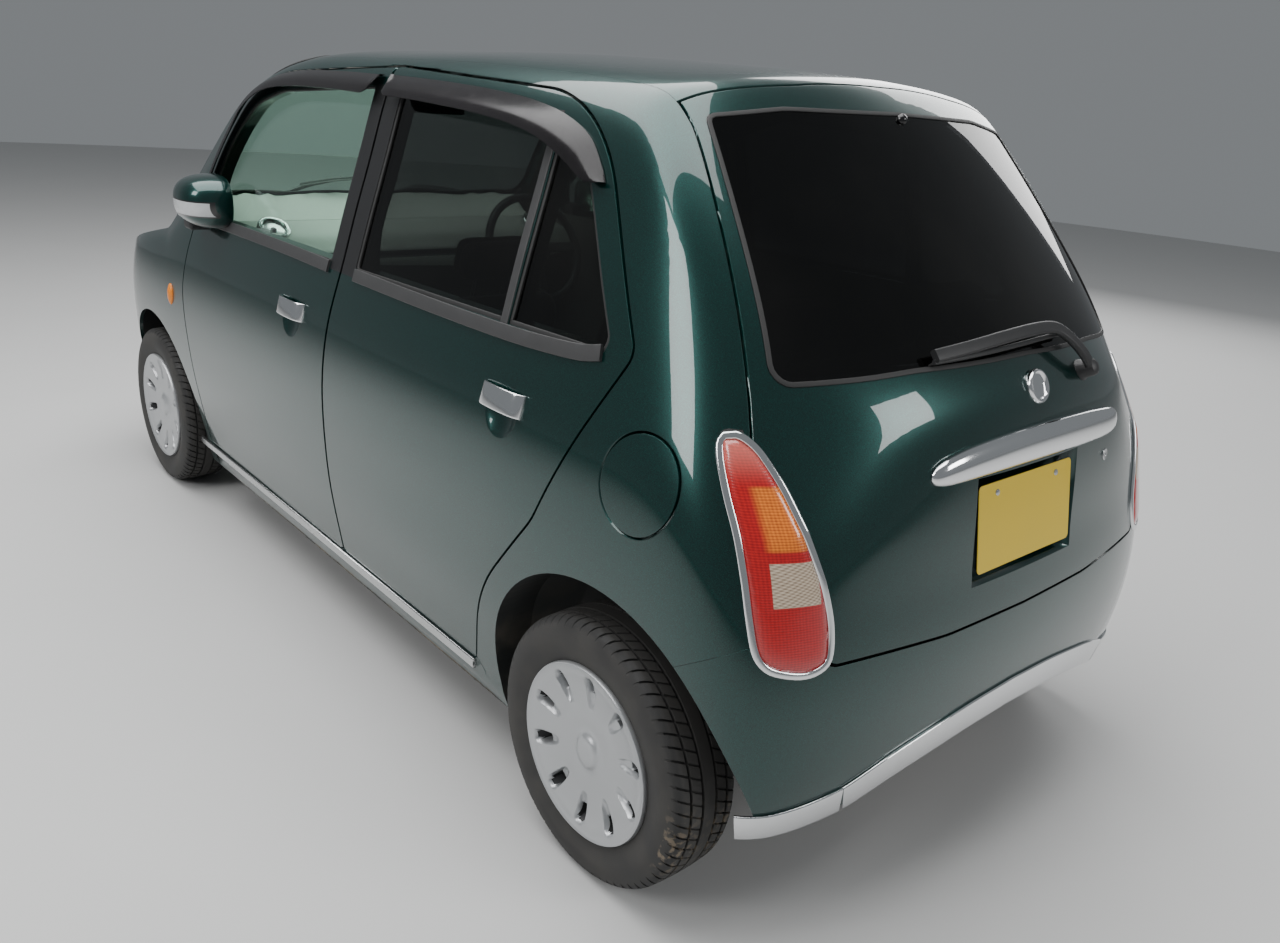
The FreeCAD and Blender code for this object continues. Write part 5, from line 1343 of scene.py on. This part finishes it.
# turned shapes: rows of radius, height
bulbRows = [(0, 46), (6, 45), (9.5, 41), (11, 34), (11, 4), (16, 0), (16, -14), (0, -14)]
hoodRows = [(0, 66), (10, 65), (15, 61), (16, 54), (16, 48), (14, 48), (14, 54), (0, 56)]
glassRows = [(0, 7), (14, 6.4), (25, 4.5), (32, 1.5), (34, 0.5), (34, -3), (0, -3)]
ringRows = [(33, 1), (34, 5), (37, 7.5), (41, 7), (43.5, 4), (44, 0.5), (44, -3), (33, -3), (33, 1)]
repeaterRows = [(0, 9), (9, 8), (16, 4.5), (19, 0.8), (19.5, -2), (0, -2)]
forward = Vector((1, 0, 0))
for side, sign in sides:
    y, z = headLook["y"], headLook["z"]
    ys, zs = circleAt(y, z, headLook["lens"], 72)
    lens = patchMesh(f"{side}_head_lamp_lens", list(zip(ys, zs)), nosePlace, 9.0, 2.0, 5.0, 7.0, 45.0)
    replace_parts(addPiece(lens.name, sided(lens, sign), "body", "lamp_clear", clearLens), "head_lamps")
    line = asLine(nosePlace(*circleAt(y, z, headLook["rim"], 64), 2.0))
    strip(f"{side}_head_lamp_bezel", "body", "bright", chrome, onSide(sign, line), 12.0, 13.0, 4.0,
          closed=True)
    # fluted bowl from the lamp's edge back to its bulb
    front = nosePlace(*circleAt(y, z, headLook["bowl"], 64), -6.0)
    rows = [front]
    for k in range(1, 11):
        share = k / 10
        ys, zs = circleAt(y, z, headLook["bowl"] * (1 - share ** 1.6 * 0.80), 64)
        deep = front[:, 0] + (headLook["back"] * mm - front[:, 0]) * share ** 0.75
        rows.append(np.stack([deep, ys * mm, zs * mm], 1))
    deep = rows[-1][:, 0] - 4 * mm
    rows.append(np.stack([deep, 0 * deep + y * mm, 0 * deep + z * mm], 1))
    bowl = outward(gridMesh(f"{side}_head_lamp_bowl", np.array(rows), closeColumns=True), 40)
    addPiece(bowl.name, sided(bowl, sign), "body", "silver", reflector)
    spot = Vector((headLook["back"] * mm, sign * y * mm, z * mm))
    turnedPiece(f"{side}_head_lamp_bulb", bulbRows, 24, spot, forward, "body", "lamp_clear", dashGrey)
    turnedPiece(f"{side}_bulb_cap", hoodRows, 24, spot, forward, "body", "silver", chrome)
    # fog lamp in the lower bumper, with a bright ring
    spot, way = spotOf(onSide(sign, asLine(nosePlace([fogLook["y"]], [fogLook["z"]], 0.0))))
    turnedPiece(f"{side}_fog_lamp_glass", glassRows, 48, spot, way, "body", "lamp_clear", reflector)
    turnedPiece(f"{side}_fog_lamp_ring", ringRows, 56, spot, way, "body", "bright", chrome)
    # oval repeater on the wing
    repeater = rodMesh(f"{side}_wing_repeater", repeaterRows, 36)
    repeater.transform(Matrix.Diagonal((1.0, 1.75, 1.0, 1.0)))
    spot, way = spotOf(onSide(sign, asLine(skinHit([(900, 0, 700)], [(900, 770, 700)]))))
    addPiece(repeater.name, standOn(repeater, spot, way), "body", "lamp_clear", amberLens)

smoothCopy("grille_bars", "body", "bright", ["grille"], [chrome], 30)
# bright lips above and below the grille: rows of y, z, and the bar's width, height and corner
lipRows = {"grille_brow": ([(-342, 634), (-325, 659), (-290, 667), (0, 671), (290, 667), (325, 659),
                            (342, 634)], (13.0, 9.0, 3.5)),
           "grille_foot": ([(-342, 634), (-310, 607), (-270, 603), (0, 599), (270, 603), (310, 607),
                            (342, 634)], (11.0, 8.0, 3.0))}
for name, (rows, size) in lipRows.items():
    line = evenly(noseLine([(y, z, 1.5) for y, z in smoothPath(rows, 6)]), 14.0)
    strip(name, "body", "bright", chrome, line, *size)
turnedPiece("bonnet_badge", badgeRows, 64, *spotOf(noseLine([(0, 704)])), "body", "bright", chrome)
smoothCopy("sill_strip_covers", "body", "bright", ["sill_strips"], [brightStrip], 32)
smoothCopy("cowl_cover", "body", "black", ["cowl"], [blackPlastic], 32)
smoothCopy("fuel_filler_cap", "body", "black", ["fuel_cap"], [blackPlastic], 32)

# front wipers: arms from the cowl and blades on the windscreen, rows of x, y, stand
screenWipers = {"left": {"arm": [(997, 330, 22), (990, 306, 27), (972, 225, 25), (955, 120, 18)],
                         "blade": [(955, 270, 10), (952, 180, 10), (951, 90, 10), (953, 0, 10),
                                   (955, -90, 10)]},
                "right": {"arm": [(1013, -90, 22), (1004, -115, 27), (985, -200, 25), (968, -305, 18)],
                          "blade": [(971, -150, 10), (966, -240, 10), (964, -340, 10), (967, -430, 10),
                                    (971, -520, 10)]}}
footRows = [(0, 30), (8, 29.5), (12, 26), (13, 20), (13.5, -2), (0, -2)]
for side, look in screenWipers.items():
    arm = evenly(topLine(smoothPath(look["arm"], 5)), 12.0)
    thin = list(np.interp(np.linspace(0, 1, len(arm)), [0, 0.15, 0.5, 1], [1.3, 1.2, 0.9, 0.6]))
    piece = strip(f"front_{side}_wiper_arm", "body", "black", blackPlastic, arm, 17.0, 9.0, 3.0, thin=thin)
    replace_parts(piece, "front_wipers")
    blade = evenly(topLine(smoothPath(look["blade"], 5)), 14.0)
    strip(f"front_{side}_wiper_holder", "body", "black", blackPlastic, blade, 10.0, 6.0, 2.0)
    strip(f"front_{side}_wiper_blade", "body", "rubber", rubberSeal, lifted(blade, -6.5), 3.0, 9.0, 1.0,
          outs=outsOf(blade))
    turnedPiece(f"front_{side}_wiper_pivot", footRows, 32, *spotOf(topLine([look["arm"][0][:2]])), "body",
                "black", blackPlastic)
print("front pieces made")


# Seats: padded pieces swelled by a short cloth simulation


def fabricFinish(name, colour):
    # woven cover: crossed threads, a soft nap, and cloudy wear
    finish = Finish(name, Sheen_Weight=0.3, Sheen_Roughness=0.5)
    x, y, z = (finish.axis(name) for name in "XYZ")
    threads = ((x + z) * 2600).wave() * (y * 2600).wave() * 0.5 + 0.5
    cloud = finish.noise(6.0, 4.0)
    speck = finish.noise(520.0, 2.0).ramp(0.35, 0.70)
    darker = tuple(c * 0.62 for c in colour)
    lighter = tuple(min(1.0, c * 1.35) for c in colour)
    tone = finish.mix(threads * 0.35 + speck * 0.4 + cloud * 0.25, darker, lighter)
    finish.feed(Base_Color=tone, Roughness=cloud * 0.12 + 0.80)
    return finish.bump(threads * 0.6 + speck * 0.5, 0.5, 0.0007)


seatCloth = fabricFinish("brown seat cloth", (0.105, 0.052, 0.040))
seatSide = fabricFinish("seat side cloth", (0.060, 0.032, 0.026))

padLook = {"grown": 11.0, "cap": 16.0, "pressure": 4.0, "frames": 20, "seamWide": 7.0, "seamDeep": 6.0,
           "square": 7, "bolsterFrom": 0.52, "bolsterReach": 0.25, "sideFrom": 0.64, "underBelow": 0.2}
# pads: middle (x, y, z), lean in degrees, half sizes (wide, long, thick), bolster height, voxel, sewn lines
padRows = {
    "front_left_cushion": ((95, 330, 408), 3, (235, 250, 80), 20, 14, (-0.25, 0.32), (-0.62, 0.62)),
    "front_left_backrest": ((-206, 330, 664), 18, (235, 280, 60), 22, 14, (-0.30, 0.22), (-0.62, 0.62)),
    "front_left_headrest": ((-318, 330, 1008), 18, (115, 59, 42), 0, 9, (), ()),
    "rear_cushion": ((-845, 0, 556), 2, (475, 250, 80), 12, 16, (-0.2,), (-0.5, 0.0, 0.5)),
    "rear_backrest": ((-1135, 0, 753), 20, (475, 220, 60), 12, 16, (-0.1,), (-0.5, 0.0, 0.5)),
    "rear_left_headrest": ((-1238, 260, 1036), 20, (115, 59, 42), 0, 9, (), ())}


def cornersOf(mesh):
    flat = np.zeros(len(mesh.vertices) * 3)
    mesh.vertices.foreach_get("co", flat)
    return flat.reshape(-1, 3)


def padBlock(name, half, bolster, voxel):
    # rounded block a little smaller than the finished pad, its face dished between two bolsters
    shape = bmesh.new()
    bmesh.ops.create_cube(shape, size=2.0)
    bmesh.ops.subdivide_edges(shape, edges=shape.edges[:], cuts=19, use_grid_fill=True)
    reach = [h - padLook["grown"] for h in half]
    for vert in shape.verts:
        p = np.array(vert.co)
        p = p / (abs(p) ** padLook["square"]).sum() ** (1 / padLook["square"])
        dish = 0.0
        if p[2] > 0.3:
            edge = min(1.0, max(0.0, (abs(p[0]) - padLook["bolsterFrom"]) / padLook["bolsterReach"]))
            dish = bolster * (edge * edge * (3 - 2 * edge) - 1)
        vert.co = Vector((p[0] * reach[0], p[1] * reach[1], p[2] * reach[2] + dish)) * mm
    block = linked(name, meshOf(name, shape))
    remesh = block.modifiers.new("even", "REMESH")
    remesh.mode = "VOXEL"
    remesh.voxel_size = voxel * mm
    even = evaluated(block)
    bpy.data.objects.remove(block)
    return even


pads = {}
for name, (middle, lean, half, bolster, voxel, across, along) in padRows.items():
    pad = linked(name, padBlock(name, half, bolster, voxel))
    rest = cornersOf(pad.data)
    held = pad.vertex_groups.new(name="held")
    for i, depth in enumerate(-rest[:, 2] / mm / half[2]):
        held.add([i], min(1.0, max(0.0, (depth - 0.25) / 0.35)), "REPLACE")
    pads[name] = (pad, rest)

for pad, rest in pads.values():
    cloth = pad.modifiers.new("swell", "CLOTH")
    cloth.settings.quality = 4
    cloth.settings.mass = 0.3
    for kind, stiff in (("tension", 18), ("compression", 18), ("shear", 8), ("bending", 2.0)):
        setattr(cloth.settings, f"{kind}_stiffness", stiff)
    cloth.settings.use_pressure = True
    cloth.settings.uniform_pressure_force = padLook["pressure"]
    cloth.settings.effector_weights.gravity = 0.0
    cloth.settings.vertex_group_mass = "held"
    cloth.point_cache.frame_start = 1
    cloth.point_cache.frame_end = padLook["frames"]
for moment in range(1, padLook["frames"] + 1):
    bpy.context.scene.frame_set(moment)


def sewnMesh(pad, rest, half, across, along):
    # the swelled pad with its moves capped, one subdivision, and its seams pressed in
    swelled = evaluated(pad)
    moved = cornersOf(swelled) - rest
    far = np.linalg.norm(moved, axis=1)
    print(pad.name, "points", len(rest), "moved up to", round(float(far.max()) / mm, 1), "mm")
    moved *= np.minimum(1.0, padLook["cap"] * mm / np.maximum(far, 1e-9))[:, None]
    swelled.vertices.foreach_set("co", (rest + moved).ravel())
    capped = linked(pad.name, swelled)
    finer = capped.modifiers.new("subdivide", "SUBSURF")
    finer.levels = finer.render_levels = 1
    fine = evaluated(capped)
    bpy.data.objects.remove(capped)
    shape = bmesh.new()
    shape.from_mesh(fine)
    shape.normal_update()
    presses = []
    for vert in shape.verts:
        u, v, w = (vert.co[k] / (half[k] * mm) for k in range(3))
        gaps = [(w - 0.05) * half[2]]
        if w > 0.1:
            gaps += [(u - seam) * half[0] for seam in along]
            if abs(u) < 0.66:
                gaps += [(v - seam) * half[1] for seam in across]
        presses.append(max(exp(-(gap / padLook["seamWide"]) ** 2) for gap in gaps) * padLook["seamDeep"])
    for vert, press, way in zip(shape.verts, presses, [v.normal.copy() for v in shape.verts]):
        vert.co -= way * press * mm
    for face in shape.faces:
        face.smooth = True
        u, _, w = (c / (h * mm) for c, h in zip(face.calc_center_median(), half))
        face.material_index = int(w < padLook["underBelow"] or abs(u) > padLook["sideFrom"])
    return meshOf(pad.name, shape)


faceUp = Matrix.Rotation(radians(-90), 4, "Z")
faceForward = Matrix(((0, 0, 1, 0), (1, 0, 0, 0), (0, 1, 0, 0), (0, 0, 0, 1)))
for name, (middle, lean, half, bolster, voxel, across, along) in padRows.items():
    pad, rest = pads[name]
    mesh = sewnMesh(pad, rest, half, across, along)
    bpy.data.objects.remove(pad)
    stand = Matrix.Rotation(radians(-lean), 4, "Y") @ (faceUp if "cushion" in name else faceForward)
    mesh.transform(Matrix.Translation(Vector(middle) * mm) @ stand)
    copies = {name: mesh}
    if "left" in name:
        copies[name.replace("left", "right")] = sided(mesh.copy(), -1)
    for label, made in copies.items():
        soft = addPiece(label, made, "body", "cloth", seatCloth, seatSide)
        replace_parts(soft, "front_seats" if name.startswith("front") else "rear_seat")

# headrest posts: (x, z) of the back's pivot, its lean and length, and places across the car
postRows = [(0, -45), (5.2, -45), (5.2, 45), (0, 45)]
for end, pivot, lean, tall, rests in (("front", (-120, 398), 18, 560, (330, -330)),
                                      ("rear", (-1060, 546), 20, 440, (260, -260))):
    way = Vector((-sin(radians(lean)), 0, cos(radians(lean))))
    for rest in rests:
        for k, off in enumerate((-44, 44)):
            spot = Vector((pivot[0], rest + off, pivot[1])) + way * (tall + 5)
            side = "left" if rest > 0 else "right"
            turnedPiece(f"{end}_{side}_headrest_post_{k + 1}", postRows, 16, spot * mm, way, "body", "bright",
                        brightStrip)
for side, sign in sides:
    foot = outward(plateBlock(f"front_{side}_seat_foot", (-100, 280), (150, 510), (199, 345), 16.0), 40)
    addPiece(foot.name, sided(foot, sign), "body", "black", blackPlastic)
bench = outward(plateBlock("rear_seat_foot", (-1040, -660), (-420, 420), (347, 492), 16.0), 40)
addPiece("rear_seat_foot", bench, "body", "cloth", carpet)
print("seats sewn")


# Dashboard and steering wheel


def dashSort(centre, normal):
    # pale pad above, dark lower half and steering column
    return 0 if centre[2] > 800 and centre[0] > 590 else 1


# deck between the dashboard and the foot of the windscreen, from the pane's own lower edge
paneCorners = cornersOf(nodes["windscreen"].data) / mm
deckLook = {"start": (800, 936), "under": 17.0, "back": 16.0, "half": 560, "thick": 6.0}
section = []
for y in np.linspace(-deckLook["half"], deckLook["half"], 41):
    front = paneCorners[abs(paneCorners[:, 1] - y) < 40][:, 0].max() - deckLook["back"]
    high = float(topZ(front, y)) - deckLook["under"]
    x0, z0 = deckLook["start"]
    upper = [(x0 + (front - x0) * t, z0 + (high - z0) * t ** 1.5) for t in np.linspace(0, 1, 9)]
    section.append([(x, y, z) for x, z in upper] + [(x, y, z - deckLook["thick"]) for x, z in upper[::-1]])
deck = outward(closedEnds(gridMesh("dash_deck", np.array(section) * mm, closeColumns=True)), 40)
addPiece("dash_deck", deck, "body", "trim_grey", dashGrey)
glassBack = outward(plateBlock("inner_mirror", (556, 574), (-118, 118), (1296, 1352), 8.0), 40)
addPiece("inner_mirror", glassBack, "body", "black", blackPlastic)
turnedPiece("inner_mirror_stem", [(0, 0), (9, 0), (8, 30), (14, 52), (0, 52)], 20,
            Vector((570, 0, 1330)) * mm, Vector((-0.35, 0, 0.94)), "body", "black", blackPlastic)
smoothCopy("dash_board", "body", "trim_grey", ["dashboard"], [dashGrey, dashDark], 34, dashSort)
ventRows = [(0, 14), (30, 14), (33, 16), (36, 25), (40, 28), (45, 28.5), (49, 26), (51, 20), (51, -6),
            (0, -6)]
knobRows = [(0, 20), (6, 20.5), (9, 18), (9, 14), (0, 14)]
ventWay = Vector((-0.5, 0, 0.866))
for side, sign in sides:
    spot = Vector((672, sign * 490, 916)) * mm
    turnedPiece(f"{side}_dash_vent", ventRows, 56, spot, ventWay, "body", "bright", brightStrip)
    turnedPiece(f"{side}_vent_knob", knobRows, 24, spot, ventWay, "body", "black", blackGloss)

wheelLook = {"centre": (435, -330, 880), "tilt": 26.0, "radius": 178.0, "thick": 14.0}
wheelWay = Vector((-cos(radians(wheelLook["tilt"])), 0, sin(radians(wheelLook["tilt"]))))
centre = Vector(wheelLook["centre"]) * mm
around = np.linspace(0, 2 * pi, 96, endpoint=False)
small = np.linspace(0, 2 * pi, 20, endpoint=False)
big, tube = np.meshgrid(around, small, indexing="ij")
spread = wheelLook["radius"] + wheelLook["thick"] * np.cos(tube)
rim = np.stack([spread * np.cos(big), spread * np.sin(big), wheelLook["thick"] * 1.1 * np.sin(tube)], 2) * mm
rimMesh = outward(gridMesh("steering_wheel_rim", rim, closeRows=True, closeColumns=True), 60)
rimPiece = addPiece("steering_wheel_rim", standOn(rimMesh, centre, wheelWay), "steering_control", "black",
                    blackPlastic)
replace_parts(rimPiece, "steering_wheel")
bossRows = [(0, 26), (30, 25), (48, 20), (58, 12), (61, 2), (58, -7), (40, -10), (20, -12), (17, -44),
            (0, -44)]
turnedPiece("steering_wheel_boss", bossRows, 56, centre, wheelWay, "steering_control", "black", blackPlastic)
# spokes: rows of reach, rise
spokeRows = [(50, 8), (80, 5), (110, 2), (140, 0), (170, 0)]
frameTurn = wheelWay.to_track_quat("Z", "Y").to_matrix()
for k, turn in enumerate((0, 180, 270)):
    way = Vector((cos(radians(turn)), sin(radians(turn)), 0))
    line = [centre + frameTurn @ (way * reach * mm + Vector((0, 0, rise * mm))) for reach, rise in spokeRows]
    strip(f"steering_wheel_spoke_{k + 1}", "steering_control", "black", blackPlastic, line, 34.0, 12.0, 4.0,
          thin=[1.3, 1.05, 0.9, 0.85, 0.9], outs=[wheelWay] * len(line))
print("dashboard and steering wheel made")


# What shows from below


def floorSort(centre, normal):
    # carpet on the cabin side, coated steel below
    x, y, _ = centre
    return 1 if normal.z > 0.2 and abs(y) < 640 and -1560 < x < 900 else 0


smoothCopy("floor_panels", "body", "underbody", ["floor_pan"], [underbody, carpet], 32, floorSort)
for name, body, slot, node, finish in (
        ("front_axle_parts", "body", "steel", "front_suspension", steel),
        ("rear_axle_beam", "body", "steel", "rear_axle", steel),
        ("left_hub_and_strut", "left_steering_knuckle", "steel", "left_knuckle", steel),
        ("right_hub_and_strut", "right_steering_knuckle", "steel", "right_knuckle", steel),
        ("engine_block", "body", "engine", "engine", castMetal),
        ("fuel_tank_shell", "body", "black", "fuel_tank", blackPlastic),
        ("exhaust_run", "body", "pipe", "exhaust", pipeMetal)):
    smoothCopy(name, body, slot, [node], [finish], 34)
print("underside made")


# What else the CAD model carries


nodeFinish = {"tail_lamps": smokedVisor, "head_lamps": clearLens, "grille": chrome, "cowl": blackPlastic,
              "sill_strips": brightStrip, "floor_pan": underbody, "front_suspension": steel,
              "rear_axle": steel, "_knuckle": steel, "engine": castMetal, "fuel_tank": blackPlastic,
              "exhaust": pipeMetal,
              "dashboard": dashGrey, "steering_wheel": blackPlastic, "front_seats": carpet, "_mirror": paint,
              "rear_seat": carpet, "front_wipers": blackPlastic, "fuel_cap": blackPlastic, "_handle": chrome,
              "_tyre": rubberSeal, "_wheel": silver, "garnish": chrome, "number_plate": plateYellow,
              "rear_wiper": blackPlastic}
for name, node in nodes.items():
    finish = next((f for key, f in nodeFinish.items() if name.endswith(key)), underbody)
    node.data.materials.clear()
    node.data.materials.append(finish.material)


# Camera, floor and light

# camera where the photograph was taken from
cameraAt = {"place": (-2.5059, 1.7758, 1.4496), "yaw": -42.380, "pitch": -20.659, "roll": 4.903,
            "focal": 1034.8, "frameWidth": 1280, "sensor": 36.0}
yaw, pitch, roll = (radians(cameraAt[k]) for k in ("yaw", "pitch", "roll"))
sight = Vector((cos(pitch) * cos(yaw), cos(pitch) * sin(yaw), sin(pitch)))
sideWay = sight.cross(Vector((0, 0, 1))).normalized()
upWay = sideWay.cross(sight)
right = sideWay * cos(roll) + upWay * sin(roll)
up = upWay * cos(roll) - sideWay * sin(roll)
camera = linked("camera", bpy.data.cameras.new("camera"))
camera.data.sensor_width = cameraAt["sensor"]
camera.data.lens = cameraAt["focal"] / cameraAt["frameWidth"] * cameraAt["sensor"]
camera.matrix_world = Matrix(((right.x, up.x, -sight.x, cameraAt["place"][0]),
                              (right.y, up.y, -sight.y, cameraAt["place"][1]),
                              (right.z, up.z, -sight.z, cameraAt["place"][2]), (0, 0, 0, 1)))
bpy.context.scene.camera = camera

floorLook = {"radius": 14.0, "colour": (0.55, 0.55, 0.545)}
bpy.ops.mesh.primitive_circle_add(vertices=96, radius=floorLook["radius"], fill_type="NGON",
                                  location=(0, 0, 0))
floor = bpy.context.object
floor.name = "studio_floor"
floor.data.materials.append(mottled("pale floor", floorLook["colour"], 0.8, fleck=0.02, scale=2.0).material)
# lamps: place, the spot each is turned to, size, power
lights = [("over", (0.4, 0.8, 4.8), (0, 0, 0), 5.0, 420.0),
          ("left", (-0.5, 6.5, 4.6), (0, 0, 0.4), 2.4, 190.0),
          ("right", (1.5, -6.0, 3.6), (0, 0, 0.6), 4.0, 200.0),
          ("rear", (-7.0, -2.5, 4.0), (0, 0, 0.4), 2.4, 160.0)]
for name, place, aim, size, power in lights:
    lamp = bpy.data.lights.new(name, "AREA")
    lamp.shape = "SQUARE"
    lamp.size = size
    lamp.energy = power
    holder = linked(name, lamp)
    holder.location = place
    holder.rotation_euler = (Vector(aim) - Vector(place)).to_track_quat("-Z", "Y").to_euler()
skyLook = {"colour": (0.84, 0.89, 0.93, 1.0), "strength": 0.24}
world = bpy.data.worlds.new("studio")
bpy.context.scene.world = world
world.use_nodes = True
sky = world.node_tree.nodes["Background"]
sky.inputs[0].default_value = skyLook["colour"]
sky.inputs[1].default_value = skyLook["strength"]
print("camera, floor and lights set")
